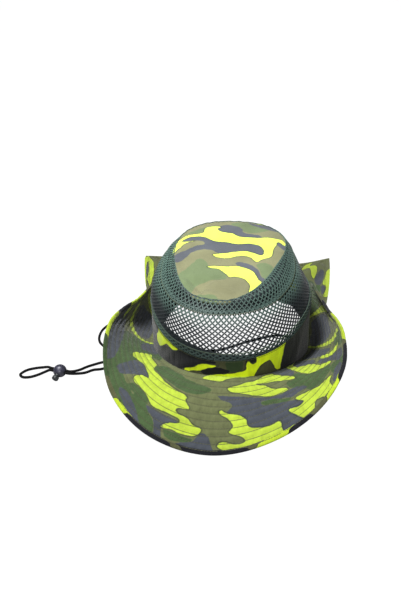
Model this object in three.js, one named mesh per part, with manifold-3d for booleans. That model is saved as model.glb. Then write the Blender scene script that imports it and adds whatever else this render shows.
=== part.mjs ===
import * as THREE from 'three';
import { mergeVertices } from 'three/addons/utils/BufferGeometryUtils.js';
import Module from 'manifold-3d';

// A wide-brim sun hat with a net crown, a neck flap and a chin cord, at rest on a floor.
// Millimetres, +Z up, the floor is Z = 0 and the front of the hat faces -Y.
// Angles run around the head in degrees: 0 is +X, 90 the back, 180 -X and 270 the front.

const HEAD = { halfWidth: 81.5, halfLength: 97, roundness: 2.1 };
const GAP = 0.3;
const CROWN_CLOTH = 1.5;
const BRIM_CLOTH = 2.4;
const FLAP_CLOTH = 1.2;
const SEAM_ALLOWANCE = 4;
const AROUND = 64;

// The brim, one row for each section around the head. seam is the height of its root, out and
// up place its edge from there, swing leans the edge around the head, and bend is the turn of
// the cloth on the way.
const BRIM_SECTIONS = [
  { at: 0, seam: 20, out: 17, up: 40, swing: 0, bend: 105 },
  { at: 25, seam: 24, out: 12, up: 36, swing: 3, bend: 115 },
  { at: 50, seam: 30, out: 38, up: 6, swing: 15, bend: 25 },
  { at: 70, seam: 34, out: 57, up: -17, swing: 7, bend: -10 },
  { at: 90, seam: 35, out: 62, up: -26, swing: 0, bend: -25 },
  { at: 110, seam: 34, out: 57, up: -17, swing: -7, bend: -10 },
  { at: 130, seam: 30, out: 38, up: 6, swing: -15, bend: 25 },
  { at: 155, seam: 24, out: 13, up: 37, swing: -3, bend: 115 },
  { at: 180, seam: 20, out: 18, up: 40, swing: 0, bend: 105 },
  { at: 195, seam: 22, out: 29, up: 40, swing: 0, bend: 75 },
  { at: 210, seam: 26, out: 41, up: 38, swing: 0, bend: 40 },
  { at: 224, seam: 32, out: 53.5, up: 21, swing: 0, bend: 15 },
  { at: 237, seam: 35, out: 64, up: -1, swing: 0, bend: -15 },
  { at: 252, seam: 37, out: 67, up: -22, swing: 0, bend: -32 },
  { at: 270, seam: 39, out: 61, up: -35.85, swing: 0, bend: -40 },
  { at: 290, seam: 37, out: 60, up: -20, swing: 0, bend: -32 },
  { at: 303, seam: 35, out: 60, up: 0, swing: 0, bend: -15 },
  { at: 316, seam: 32, out: 54, up: 21, swing: 0, bend: 15 },
  { at: 330, seam: 26, out: 39, up: 38, swing: 0, bend: 40 },
  { at: 345, seam: 22, out: 27, up: 40, swing: 0, bend: 75 },
];

// The crown above the seam, one row for each level, as an oval around the middle at x and y.
// taper is the share by which it is wider at the back and narrower at the front. tilt is what
// the back rises above its height and the front falls below it, and flank what the sides rise.
const CROWN_LEVELS = [
  { halfWidth: 81.5, halfLength: 97, roundness: 2.1, x: 0, y: 0, taper: 0, height: 58, tilt: 2, flank: 17 },
  { halfWidth: 79.5, halfLength: 94, roundness: 2.15, x: -2, y: 0, taper: 0, height: 76, tilt: 5, flank: 10 },
  { halfWidth: 73.5, halfLength: 87, roundness: 2.25, x: -4, y: 1, taper: 0.03, height: 95, tilt: 9, flank: 4 },
  { halfWidth: 58.5, halfLength: 71.5, roundness: 2.5, x: -3, y: 3, taper: 0.08, height: 111, tilt: 11, flank: 0 },
];
const NET_ROWS = 4;

// The soft dents of the net, each a hollow down the crown wall.
const NET_DENTS = [
  { at: 222, spread: 11, level: 0.45, reach: 0.5, depth: 3.5 },
  { at: 246, spread: 10, level: 0.55, reach: 0.5, depth: 3 },
  { at: 285, spread: 16, level: 0.6, reach: 0.5, depth: 4 },
  { at: 318, spread: 12, level: 0.5, reach: 0.5, depth: 3 },
  { at: 20, spread: 14, level: 0.6, reach: 0.5, depth: 2.5 },
  { at: 95, spread: 18, level: 0.5, reach: 0.5, depth: 4 },
];

// The tip swells at its rim and sags in the middle, with a pucker at the front left.
const TIP = { swell: 5, sag: 3.5, rings: 4 };
const TIP_PUCKER = { x: -26, y: -47, radius: 17, depth: 5 };

const BINDING = { reach: 3.2, thickness: 4, sides: 8 };

// The flap is sewn along the back of the seam and lies out behind on the floor.
const FLAP = {
  seamSpread: 75,
  left: { x: -152.5, y: 230 },
  right: { x: 117.5, y: 254.5 },
  dropReach: 24,
  fallShare: 0.55,
  across: 16,
  along: 13,
};
// Where its hem curls in from the line between its two corners.
const FLAP_DIPS = [
  { at: 0.68, spread: 0.24, depth: 26 },
  { at: -0.6, spread: 0.2, depth: 12 },
];
// Its folds, each a soft ridge on the floor from one place to another.
const FLAP_RIDGES = [
  { x0: 108, y0: 237, x1: 91, y1: 205, height: 8, spread: 17 },
  { x0: -143, y0: 214, x1: -128, y1: 190, height: 6, spread: 16 },
  { x0: -128, y0: 190, x1: -122, y1: 150, height: 6, spread: 16 },
  { x0: -55, y0: 150, x1: -30, y1: 205, height: 9, spread: 20 },
  { x0: 45, y0: 150, x1: 30, y1: 200, height: 8, spread: 18 },
];

const CORD = { diameter: 2.5, sides: 8, steps: 80, seamDrop: 1.5, lift: 0.3 };
const LOCK = { x: -172, y: -64.4, radius: 6.7, heading: 170, dip: 14, lift: 0.2 };
const STRAND = { spacing: 2.7, clearance: 0.3 };
const PLUNGER = { radius: 2.6, headRadius: 3.3, headStart: 8.2, end: 11.5, wall: 0.7, travel: 1.5 };

const COLOURS = {
  camo: { color: 0x6f7d52, roughness: 0.85, metalness: 0 },
  tip: { color: 0x9ea07a, roughness: 0.85, metalness: 0 },
  net: { color: 0x2c3f3c, roughness: 0.7, metalness: 0 },
  cord: { color: 0x121214, roughness: 0.75, metalness: 0 },
  plastic: { color: 0x2b2b33, roughness: 0.35, metalness: 0 },
};

const radians = THREE.MathUtils.degToRad;

// A smooth value of one column of a table whose rows lie around the head.
function around(rows, column, angle) {
  const turn = ((angle % 360) + 360) % 360;
  const count = rows.length;
  let last = count - 1;
  for (let i = 0; i < count; i += 1) {
    if (rows[i].at <= turn) last = i;
  }
  const place = (i) => rows[(i + count) % count].at + 360 * Math.floor(i / count);
  const value = (i) => rows[(i + count) % count][column];
  const slope = (i) => (value(i + 1) - value(i - 1)) / (place(i + 1) - place(i - 1));
  const span = place(last + 1) - place(last);
  return hermite(value(last), value(last + 1), slope(last), slope(last + 1), span, (turn - place(last)) / span);
}

function hermite(v0, v1, slope0, slope1, span, t) {
  const a = (2 * t ** 3 - 3 * t ** 2 + 1) * v0;
  const b = (t ** 3 - 2 * t ** 2 + t) * span * slope0;
  const c = (3 * t ** 2 - 2 * t ** 3) * v1;
  const d = (t ** 3 - t ** 2) * span * slope1;
  return a + b + c + d;
}

// A smooth bump: 1 in the middle, 0 from a distance of 1 outward.
function bump(distance) {
  return Math.abs(distance) < 1 ? (1 - distance ** 2) ** 2 : 0;
}

function angleBetween(a, b) {
  return ((a - b + 540) % 360) - 180;
}

// The head oval: a place on it at an angle, and the direction straight out from it.
function ovalPoint(oval, angle) {
  const c = Math.cos(radians(angle));
  const s = Math.sin(radians(angle));
  const n = oval.roundness;
  const sum = Math.abs(c / oval.halfWidth) ** n + Math.abs(s / oval.halfLength) ** n;
  const radius = sum ** (-1 / n);
  return new THREE.Vector2(radius * c, radius * s);
}

function ovalOutward(oval, angle) {
  const p = ovalPoint(oval, angle);
  const n = oval.roundness;
  const x = Math.sign(p.x) * Math.abs(p.x / oval.halfWidth) ** (n - 1) / oval.halfWidth;
  const y = Math.sign(p.y) * Math.abs(p.y / oval.halfLength) ** (n - 1) / oval.halfLength;
  return new THREE.Vector2(x, y).normalize();
}

// The brim section at an angle, as an arc with a given chord and turn.
function brimSection(angle) {
  const out = around(BRIM_SECTIONS, 'out', angle);
  const up = around(BRIM_SECTIONS, 'up', angle);
  const bend = radians(around(BRIM_SECTIONS, 'bend', angle));
  const half = bend / 2;
  const stretch = Math.abs(half) < 1e-6 ? 1 : half / Math.sin(half);
  const seam = around(BRIM_SECTIONS, 'seam', angle);
  const swing = around(BRIM_SECTIONS, 'swing', angle);
  return { width: Math.hypot(out, up) * stretch, root: Math.atan2(up, out) - half, bend, seam, swing };
}

// A point of the brim: share runs from root to edge, lift is the height over its middle layer.
function brimPoint(angle, share, lift) {
  const section = brimSection(angle);
  const half = (section.bend * share) / 2;
  const chord = section.width * share * (Math.abs(half) < 1e-6 ? 1 : Math.sin(half) / half);
  const slope = section.root + section.bend * share;
  const rootGap = CROWN_CLOTH / 2 + GAP + (BRIM_CLOTH / 2) * Math.abs(Math.sin(section.root));
  const out = rootGap + chord * Math.cos(section.root + half) - lift * Math.sin(slope);
  const up = chord * Math.sin(section.root + half) + lift * Math.cos(slope);
  const lean = section.swing * share ** 2;
  const base = ovalPoint(HEAD, angle);
  const outward = ovalOutward(HEAD, angle);
  const x = base.x + outward.x * out - outward.y * lean;
  const y = base.y + outward.y * out + outward.x * lean;
  return new THREE.Vector3(x, y, section.seam + up);
}

// The crown wall between the band's top and the tip seam: level runs from 0 to 1.
function crownLevel(level) {
  const place = level * (CROWN_LEVELS.length - 1);
  const i = Math.min(Math.floor(place), CROWN_LEVELS.length - 2);
  const row = (k) => CROWN_LEVELS[Math.max(0, Math.min(CROWN_LEVELS.length - 1, k))];
  const mixed = {};
  for (const column of Object.keys(CROWN_LEVELS[0])) {
    const slope0 = (row(i + 1)[column] - row(i - 1)[column]) / 2;
    const slope1 = (row(i + 2)[column] - row(i)[column]) / 2;
    mixed[column] = hermite(row(i)[column], row(i + 1)[column], slope0, slope1, 1, place - i);
  }
  return mixed;
}

function levelHeight(oval, angle) {
  return oval.height + oval.tilt * Math.sin(radians(angle)) + oval.flank * Math.cos(radians(angle)) ** 2;
}

// A place on a crown level's outline, or inside it where share is under 1.
function crownOutline(oval, angle, share) {
  const p = ovalPoint(oval, angle).multiplyScalar(share);
  const wider = 1 + oval.taper * Math.sin(radians(angle));
  return new THREE.Vector2(p.x * wider + oval.x, p.y + oval.y);
}

function crownMiddle(angle, level) {
  const oval = crownLevel(level);
  const p = crownOutline(oval, angle, 1);
  const outward = ovalOutward(oval, angle);
  let push = 0;
  for (const dent of NET_DENTS) {
    const side = bump(angleBetween(angle, dent.at) / (2 * dent.spread));
    push -= dent.depth * side * bump((level - dent.level) / dent.reach);
  }
  return new THREE.Vector3(p.x + outward.x * push, p.y + outward.y * push, levelHeight(oval, angle));
}

function crownPoint(angle, level, lift) {
  const step = 0.02;
  const below = crownMiddle(angle, Math.max(level - step, 0));
  const above = crownMiddle(angle, Math.min(level + step, 1));
  const beside = crownMiddle(angle + 1, level).sub(crownMiddle(angle - 1, level));
  const normal = beside.cross(above.sub(below)).normalize();
  return crownMiddle(angle, level).addScaledVector(normal, lift);
}

// The band stands straight from under the seam to the net.
function bandPoint(angle, share, lift) {
  const foot = around(BRIM_SECTIONS, 'seam', angle) - SEAM_ALLOWANCE;
  const top = crownMiddle(angle, 0);
  const base = ovalPoint(HEAD, angle);
  const outward = ovalOutward(HEAD, angle);
  const x = base.x + (top.x - base.x) * share + outward.x * lift;
  const y = base.y + (top.y - base.y) * share + outward.y * lift;
  return new THREE.Vector3(x, y, foot + (top.z - GAP - foot) * share);
}

// The tip: share runs from its middle to the tip seam.
function tipPoint(angle, share, lift) {
  const rim = CROWN_LEVELS[CROWN_LEVELS.length - 1];
  const p = crownOutline(rim, angle, share * (1 - GAP / rim.halfWidth));
  const flat = rim.height + rim.tilt * share * Math.sin(radians(angle));
  const swell = TIP.swell * (1 - share ** 6) - TIP.sag * bump(share);
  const far = Math.hypot(p.x - TIP_PUCKER.x, p.y - TIP_PUCKER.y) / TIP_PUCKER.radius;
  const z = flat + swell - TIP_PUCKER.depth * bump(far) * (1 - share ** 8);
  return new THREE.Vector3(p.x, p.y, z + lift + CROWN_CLOTH / 2 + 2 * GAP);
}

// The flap: side runs from -1 at -X to 1 at +X, share from the seam to the hem.
function flapMiddle(side, share) {
  const angle = 90 - side * FLAP.seamSpread;
  const reach = CROWN_CLOTH / 2 + 2.5 * GAP + FLAP_CLOTH / 2;
  const base = ovalPoint(HEAD, angle);
  const outward = ovalOutward(HEAD, angle);
  const top = around(BRIM_SECTIONS, 'seam', angle) - BRIM_CLOTH / 2 - 3 * GAP;
  const mix = (side + 1) / 2;
  let dip = 0;
  for (const { at, spread, depth } of FLAP_DIPS) dip += depth * bump((side - at) / (2 * spread));
  const hemX = FLAP.left.x + (FLAP.right.x - FLAP.left.x) * mix;
  const hemY = FLAP.left.y + (FLAP.right.y - FLAP.left.y) * mix - dip;
  const start = new THREE.Vector3(base.x + outward.x * reach, base.y + outward.y * reach, top);
  const dropX = start.x + outward.x * FLAP.dropReach;
  const dropY = start.y + outward.y * FLAP.dropReach + 30 * side ** 2;
  const lieX = hemX * (0.96 + 0.04 * side);
  const lieY = hemY - 0.42 * (hemY - dropY);
  const curve = new THREE.CubicBezierCurve3(
    start,
    new THREE.Vector3(dropX, dropY, top),
    new THREE.Vector3(lieX, lieY, top),
    new THREE.Vector3(hemX, hemY, top),
  );
  const p = curve.getPoint(share);
  const floor = FLAP_CLOTH / 2;
  p.z = floor + (top - floor) * Math.max(0, 1 - share / FLAP.fallShare) ** 3;
  for (const ridge of FLAP_RIDGES) {
    p.z += ridge.height * bump(distanceToLine(p, ridge) / ridge.spread);
  }
  return p;
}

function distanceToLine(p, line) {
  const a = new THREE.Vector2(line.x0, line.y0);
  const along = new THREE.Vector2(line.x1, line.y1).sub(a);
  const from = new THREE.Vector2(p.x, p.y).sub(a);
  const t = THREE.MathUtils.clamp(from.dot(along) / along.lengthSq(), 0, 1);
  return from.sub(along.multiplyScalar(t)).length();
}

function flapPoint(side, share, lift) {
  const step = 0.01;
  const across = flapMiddle(side + step, share).sub(flapMiddle(side - step, share));
  const along = flapMiddle(side, share + step).sub(flapMiddle(side, Math.max(share - step, 0)));
  const normal = across.cross(along).normalize();
  return flapMiddle(side, share).addScaledVector(normal, lift);
}

// A closed body from its corners and triangles, with its faces turned outward.
function closedBody(points, triangles) {
  const kept = triangles.filter(([a, b, c]) => a !== b && b !== c && c !== a);
  let volume = 0;
  for (const [a, b, c] of kept) {
    volume += points[a].dot(new THREE.Vector3().crossVectors(points[b], points[c]));
  }
  const faces = volume > 0 ? kept : kept.map(([a, b, c]) => [a, c, b]);
  const geometry = new THREE.BufferGeometry();
  geometry.setAttribute('position', new THREE.Float32BufferAttribute(points.flatMap((p) => p.toArray()), 3));
  geometry.setIndex(faces.flat());
  geometry.computeVertexNormals();
  return geometry;
}

// A wall of cloth: place(column, row, lift) gives its two faces over a grid.
// A ring closes on itself, and a capped one shrinks to a point at row 0.
function clothWall({ columns, rows, thickness, place, ring, capped }) {
  const points = [];
  const wide = ring ? columns : columns + 1;
  const faces = [thickness / 2, -thickness / 2].map((lift) => {
    const index = [];
    for (let row = 0; row <= rows; row += 1) {
      const line = [];
      for (let column = 0; column < wide; column += 1) {
        if (!(capped && row === 0 && column > 0)) points.push(place(column, row, lift));
        line.push(points.length - 1);
      }
      index.push(line);
    }
    return index;
  });
  const [top, bottom] = faces;
  const triangles = [];
  const quad = (a, b, c, d) => triangles.push([a, b, c], [a, c, d]);
  for (let row = 0; row < rows; row += 1) {
    for (let column = 0; column < columns; column += 1) {
      const next = (column + 1) % wide;
      quad(top[row][column], top[row][next], top[row + 1][next], top[row + 1][column]);
      quad(bottom[row][column], bottom[row + 1][column], bottom[row + 1][next], bottom[row][next]);
    }
  }
  for (let column = 0; column < columns; column += 1) {
    const next = (column + 1) % wide;
    quad(top[rows][column], top[rows][next], bottom[rows][next], bottom[rows][column]);
    if (!capped) quad(top[0][next], top[0][column], bottom[0][column], bottom[0][next]);
  }
  if (!ring) {
    for (let row = 0; row < rows; row += 1) {
      quad(top[row][0], top[row + 1][0], bottom[row + 1][0], bottom[row][0]);
      quad(top[row + 1][columns], top[row][columns], bottom[row][columns], bottom[row + 1][columns]);
    }
  }
  return closedBody(points, triangles);
}

const stepAngle = (column) => (column * 360) / AROUND;

function crownTip() {
  const place = (column, row, lift) => tipPoint(stepAngle(column), row / TIP.rings, lift);
  return clothWall({ columns: AROUND, rows: TIP.rings, thickness: CROWN_CLOTH, place, ring: true, capped: true });
}

function crownNet() {
  const end = 1 - GAP / 25;
  const place = (column, row, lift) => crownPoint(stepAngle(column), (end * row) / NET_ROWS, lift);
  return clothWall({ columns: AROUND, rows: NET_ROWS, thickness: CROWN_CLOTH, place, ring: true });
}

function crownBand() {
  const rows = 2;
  const place = (column, row, lift) => bandPoint(stepAngle(column), row / rows, lift);
  return clothWall({ columns: AROUND, rows, thickness: CROWN_CLOTH, place, ring: true });
}

function brim() {
  const rows = 6;
  const place = (column, row, lift) => brimPoint(stepAngle(column), row / rows, lift);
  return clothWall({ columns: AROUND, rows, thickness: BRIM_CLOTH, place, ring: true });
}

// The binding is a soft roll around the brim's edge.
function brimBinding() {
  const points = [];
  const triangles = [];
  for (let column = 0; column < AROUND; column += 1) {
    const angle = stepAngle(column);
    const edge = brimPoint(angle, 1, 0);
    const upward = brimPoint(angle, 1, 1).sub(edge);
    const onward = edge.clone().sub(brimPoint(angle, 0.99, 0)).normalize();
    const middle = edge.clone().addScaledVector(onward, GAP + BINDING.reach / 2);
    for (let k = 0; k < BINDING.sides; k += 1) {
      const turn = ((k + 0.5) / BINDING.sides) * 2 * Math.PI;
      const p = middle.clone().addScaledVector(onward, (BINDING.reach / 2) * Math.cos(turn));
      points.push(p.addScaledVector(upward, (BINDING.thickness / 2) * Math.sin(turn)));
    }
  }
  for (let column = 0; column < AROUND; column += 1) {
    const here = column * BINDING.sides;
    const next = ((column + 1) % AROUND) * BINDING.sides;
    for (let k = 0; k < BINDING.sides; k += 1) {
      const m = (k + 1) % BINDING.sides;
      triangles.push([here + k, next + k, next + m], [here + k, next + m, here + m]);
    }
  }
  return closedBody(points, triangles);
}

function neckFlap() {
  const place = (column, row, lift) => flapPoint((2 * column) / FLAP.across - 1, row / FLAP.along, lift);
  return clothWall({ columns: FLAP.across, rows: FLAP.along, thickness: FLAP_CLOTH, place });
}

const wasm = await Module();
wasm.setup();

function toManifold(geometry) {
  const bare = geometry.clone();
  bare.deleteAttribute('normal');
  bare.deleteAttribute('uv');
  const merged = mergeVertices(bare, 1e-4);
  const vertProperties = Float32Array.from(merged.attributes.position.array);
  const triVerts = Uint32Array.from(merged.index.array);
  return new wasm.Manifold(new wasm.Mesh({ numProp: 3, vertProperties, triVerts }));
}

function fromManifold(body) {
  const mesh = body.getMesh();
  const geometry = new THREE.BufferGeometry();
  geometry.setAttribute('position', new THREE.Float32BufferAttribute(mesh.vertProperties, 3));
  geometry.setIndex(Array.from(mesh.triVerts));
  geometry.computeVertexNormals();
  return geometry;
}

// The lock in its own axes: the two strands run along X, the plunger slides along Y.
const strandHalf = (STRAND.spacing + CORD.diameter) / 2;
const windowHeight = CORD.diameter + 2 * STRAND.clearance;
const windowInner = -(strandHalf + STRAND.clearance);
const plungerInner = windowInner - PLUNGER.wall;

function cylinderAlongY(radius, from, to, sides) {
  const geometry = new THREE.CylinderGeometry(radius, radius, to - from, sides);
  return geometry.translate(0, (from + to) / 2, 0);
}

function boxBetween(x, yFrom, yTo, z) {
  return new THREE.BoxGeometry(x, yTo - yFrom, z).translate(0, (yFrom + yTo) / 2, 0);
}

function cordLock() {
  const ball = toManifold(new THREE.SphereGeometry(LOCK.radius, 24, 16));
  const boreEnd = plungerInner - PLUNGER.travel - GAP;
  const bore = toManifold(cylinderAlongY(PLUNGER.radius + GAP, boreEnd, 2 * LOCK.radius, 16));
  const slot = toManifold(boxBetween(3 * LOCK.radius, windowInner, -windowInner, windowHeight));
  return fromManifold(ball.subtract(bore).subtract(slot));
}

function cordLockButton() {
  const stem = toManifold(cylinderAlongY(PLUNGER.radius, plungerInner, PLUNGER.end - 1, 16));
  const headEnd = PLUNGER.end;
  const profile = [
    [0, PLUNGER.headStart],
    [PLUNGER.headRadius, PLUNGER.headStart],
    [PLUNGER.headRadius, headEnd - 0.6],
    [PLUNGER.headRadius - 0.6, headEnd],
    [0, headEnd],
  ];
  const head = toManifold(new THREE.LatheGeometry(profile.map(([x, y]) => new THREE.Vector2(x, y)), 16));
  const windowOuter = -windowInner + PLUNGER.travel;
  const gate = toManifold(boxBetween(3 * LOCK.radius, windowInner, windowOuter, windowHeight));
  return fromManifold(stem.add(head).subtract(gate));
}

const lockFrame = new THREE.Group();
lockFrame.position.set(LOCK.x, LOCK.y, LOCK.radius + LOCK.lift);
lockFrame.rotation.set(radians(-LOCK.dip), 0, radians(LOCK.heading), 'ZXY');
lockFrame.updateMatrixWorld(true);

// The cord's route: it leaves the band's inner face at one side, crosses the floor inside the
// hat, runs out through the lock, turns in the end loop and comes back to the other side.
function cordRoute() {
  const inLock = (x, y) => lockFrame.localToWorld(new THREE.Vector3(x, y, 0));
  const strand = STRAND.spacing / 2;
  const onFloor = (x, y) => new THREE.Vector3(x, y, CORD.diameter / 2 + CORD.lift);
  const exit = (side, further) => {
    const angle = side > 0 ? 6 : 174;
    const inset = CROWN_CLOTH / 2 + 2 * GAP + further;
    const p = ovalPoint(HEAD, angle);
    const outward = ovalOutward(HEAD, angle);
    const height = around(BRIM_SECTIONS, 'seam', angle) - CORD.seamDrop;
    return new THREE.Vector3(p.x - outward.x * inset, p.y - outward.y * inset, height);
  };
  return [
    exit(1, 0),
    exit(1, 4),
    new THREE.Vector3(73, 12, 13),
    new THREE.Vector3(70, 21, 4.5),
    onFloor(63, 31),
    onFloor(49, 34),
    onFloor(20, 20),
    onFloor(-19, -4),
    onFloor(-52, -5),
    onFloor(-90, -20),
    onFloor(-119, -41),
    onFloor(-133, -50),
    onFloor(-141, -52.5),
    onFloor(-148, -58),
    new THREE.Vector3(-154.5, -63, 3.6),
    inLock(-11, strand),
    inLock(-7, strand),
    inLock(7, strand),
    inLock(11, strand),
    new THREE.Vector3(-188, -63.5, 4),
    onFloor(-196, -67),
    onFloor(-203, -71.5),
    onFloor(-210, -72),
    onFloor(-214, -68),
    onFloor(-210.5, -60.5),
    onFloor(-203, -56),
    new THREE.Vector3(-195, -54.5, 2.2),
    new THREE.Vector3(-188, -57, 5),
    inLock(11, -strand),
    inLock(7, -strand),
    inLock(-7, -strand),
    inLock(-11, -strand),
    new THREE.Vector3(-155, -58.5, 4.4),
    onFloor(-148.5, -47),
    onFloor(-139.5, -40.5),
    onFloor(-129, -33),
    onFloor(-129, -21),
    onFloor(-139, -12),
    onFloor(-150, -1),
    onFloor(-154.5, 12),
    onFloor(-154, 28),
    onFloor(-147, 40),
    onFloor(-131, 44),
    onFloor(-112, 35),
    onFloor(-94, 20),
    new THREE.Vector3(-80, 11, 3),
    new THREE.Vector3(-73.5, 9, 9.5),
    exit(-1, 5),
    exit(-1, 0),
  ];
}

function chinCord() {
  const section = new THREE.Shape();
  for (let k = 0; k < CORD.sides; k += 1) {
    const turn = ((k + 0.5) / CORD.sides) * 2 * Math.PI;
    const x = (CORD.diameter / 2) * Math.cos(turn);
    const y = (CORD.diameter / 2) * Math.sin(turn);
    if (k === 0) section.moveTo(x, y);
    else section.lineTo(x, y);
  }
  const path = new THREE.CatmullRomCurve3(cordRoute(), false, 'centripetal');
  return new THREE.ExtrudeGeometry(section, { steps: CORD.steps, extrudePath: path, bevelEnabled: false });
}

function piece(name, geometry, look) {
  const mesh = new THREE.Mesh(geometry, new THREE.MeshStandardMaterial(look));
  mesh.name = name;
  return mesh;
}

const cloth = new THREE.Group();
cloth.add(
  piece('crown_tip', crownTip(), COLOURS.tip),
  piece('crown_mesh', crownNet(), COLOURS.net),
  piece('crown_band', crownBand(), COLOURS.camo),
  piece('brim', brim(), COLOURS.camo),
  piece('brim_binding', brimBinding(), COLOURS.camo),
  piece('neck_flap', neckFlap(), COLOURS.camo),
);

lockFrame.add(
  piece('cord_lock', cordLock(), COLOURS.plastic),
  piece('cord_lock_button', cordLockButton(), COLOURS.plastic),
);

// The origin is the middle of the cloth hat's footprint on the floor.
const bounds = new THREE.Box3().setFromObject(cloth);
const middle = bounds.getCenter(new THREE.Vector3());

const group = new THREE.Group();
group.add(cloth, piece('chin_cord', chinCord(), COLOURS.cord), lockFrame);
group.position.set(-middle.x, -middle.y, 0);

export default group;
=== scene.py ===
# %% [markdown]
# A wide-brim sun hat, piece by piece.
# The hat lies on a table: a stiff, stitched brim that curls up at the sides, a crown of open
# net under a printed tip, a neck flap spread out behind, and a black chin cord with a lock.
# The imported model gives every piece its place. This script gives each one its cloth.

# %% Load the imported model
import math

import bmesh
import bpy
import numpy as np
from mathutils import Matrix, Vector


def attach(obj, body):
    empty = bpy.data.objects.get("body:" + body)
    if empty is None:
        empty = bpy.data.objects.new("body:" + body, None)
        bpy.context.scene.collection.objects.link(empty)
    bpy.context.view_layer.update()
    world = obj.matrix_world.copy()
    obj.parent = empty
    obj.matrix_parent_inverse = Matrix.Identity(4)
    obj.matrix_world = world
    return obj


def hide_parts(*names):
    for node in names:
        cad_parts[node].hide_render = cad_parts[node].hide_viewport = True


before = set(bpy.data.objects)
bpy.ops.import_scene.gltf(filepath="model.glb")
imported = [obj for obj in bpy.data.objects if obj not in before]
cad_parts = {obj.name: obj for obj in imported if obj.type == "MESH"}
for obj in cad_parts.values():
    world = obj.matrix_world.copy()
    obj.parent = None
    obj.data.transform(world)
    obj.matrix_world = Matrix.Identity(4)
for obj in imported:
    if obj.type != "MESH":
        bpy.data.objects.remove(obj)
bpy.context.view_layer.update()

print("nodes", sorted(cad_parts))

# %% [markdown]
# The camera comes first. A photograph is matched by where it was taken from, not only by its
# direction: this one stood 0.6 m away and looked down by 30 degrees, so the brim's front is
# much larger than its back. A shift of the lens moves the hat in the frame without turning it.

# %% Camera
TARGET = Vector((0.0174, -0.0418, 0.060))
AZIMUTH, ELEVATION, DISTANCE = 6.0, 30.0, 0.600
LENS, SENSOR, FAR_END = 34.0, 36.0, 200.0
LENS_SHIFT = (-0.0524, 0.0058)


def add_camera():
    turn, rise = math.radians(AZIMUTH), math.radians(ELEVATION)
    back = Vector((math.sin(turn) * math.cos(rise), -math.cos(turn) * math.cos(rise), math.sin(rise)))
    bpy.ops.object.camera_add(location=TARGET + back * DISTANCE)
    camera = bpy.context.object
    camera.rotation_euler = back.to_track_quat("Z", "Y").to_euler()
    camera.data.lens, camera.data.sensor_width, camera.data.clip_end = LENS, SENSOR, FAR_END
    camera.data.shift_x, camera.data.shift_y = LENS_SHIFT
    bpy.context.scene.camera = camera
    return camera


camera = add_camera()
print("camera", [round(v, 3) for v in camera.location])

# %% [markdown]
# All the shapes below are measured in millimetres from the middle of the head opening, with
# the front of the hat at angle 270. One helper turns such points into places in the scene.

# %% From hat millimetres to the scene
SHIFT = np.array([17.396, -41.767, 0.0])


def to_scene(points):
    return (np.asarray(points, float) + SHIFT) / 1000.0


def table_column(rows, columns, name):
    return np.array([row[columns.index(name)] for row in rows], float)


def hermite(v0, v1, slope0, slope1, span, t):
    start = (2 * t**3 - 3 * t**2 + 1) * v0 + (t**3 - 2 * t**2 + t) * span * slope0
    return start + (3 * t**2 - 2 * t**3) * v1 + (t**3 - t**2) * span * slope1


def bump(distance):
    d = np.minimum(np.abs(distance), 1.0)
    return (1 - d**2) ** 2


def angle_between(a, b):
    return np.mod(a - b + 540.0, 360.0) - 180.0


# %% [markdown]
# The brim is one strip of stiff cloth round the head. Each row of the table is a section at an
# angle: how high its root is, where its edge lies from there, and how much the cloth bends on
# the way. A smooth curve through the rows gives every angle in between.

# %% The brim's sections
HEAD = {"half_width": 81.5, "half_length": 97.0, "roundness": 2.1}
GAP, CROWN_CLOTH, BRIM_CLOTH, FLAP_CLOTH, SEAM_ALLOWANCE = 0.3, 1.5, 2.4, 1.2, 4.0
BRIM_COLUMNS = ["at", "seam", "out", "up", "swing", "bend"]
BRIM_SECTIONS = [
    (0, 20, 17, 40, 0, 105), (25, 24, 12, 36, 3, 115), (50, 30, 38, 6, 15, 25),
    (70, 34, 57, -17, 7, -10), (90, 35, 62, -26, 0, -25), (110, 34, 57, -17, -7, -10),
    (130, 30, 38, 6, -15, 25), (155, 24, 13, 37, -3, 115), (180, 20, 18, 40, 0, 105),
    (195, 22, 29, 40, 0, 75), (210, 26, 41, 38, 0, 40), (224, 32, 53.5, 21, 0, 15),
    (237, 35, 64, -1, 0, -15), (252, 37, 67, -22, 0, -32), (270, 39, 61, -35.85, 0, -40),
    (290, 37, 60, -20, 0, -32), (303, 35, 60, 0, 0, -15), (316, 32, 54, 21, 0, 15),
    (330, 26, 39, 38, 0, 40), (345, 22, 27, 40, 0, 75),
]


def around(name, angle):
    at = table_column(BRIM_SECTIONS, BRIM_COLUMNS, "at")
    value = np.tile(table_column(BRIM_SECTIONS, BRIM_COLUMNS, name), 3)
    at = np.concatenate([at - 360, at, at + 360])
    turn = np.mod(angle, 360.0)
    i = np.searchsorted(at, turn, side="right") - 1
    slope = (value[2:] - value[:-2]) / (at[2:] - at[:-2])
    span = at[i + 1] - at[i]
    return hermite(value[i], value[i + 1], slope[i - 1], slope[i], span, (turn - at[i]) / span)


def oval_point(oval, angle):
    c, s = np.cos(np.radians(angle)), np.sin(np.radians(angle))
    n = oval["roundness"]
    radius = (np.abs(c / oval["half_width"]) ** n + np.abs(s / oval["half_length"]) ** n) ** (-1 / n)
    return np.stack([radius * c, radius * s], -1)


def oval_outward(oval, angle):
    p = oval_point(oval, angle)
    n = oval["roundness"]
    x = np.sign(p[..., 0]) * np.abs(p[..., 0] / oval["half_width"]) ** (n - 1) / oval["half_width"]
    y = np.sign(p[..., 1]) * np.abs(p[..., 1] / oval["half_length"]) ** (n - 1) / oval["half_length"]
    normal = np.stack([x, y], -1)
    return normal / np.linalg.norm(normal, axis=-1, keepdims=True)


def brim_width(angle):
    half = np.radians(around("bend", angle)) / 2
    return np.hypot(around("out", angle), around("up", angle)) / np.sinc(half / np.pi)


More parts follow.
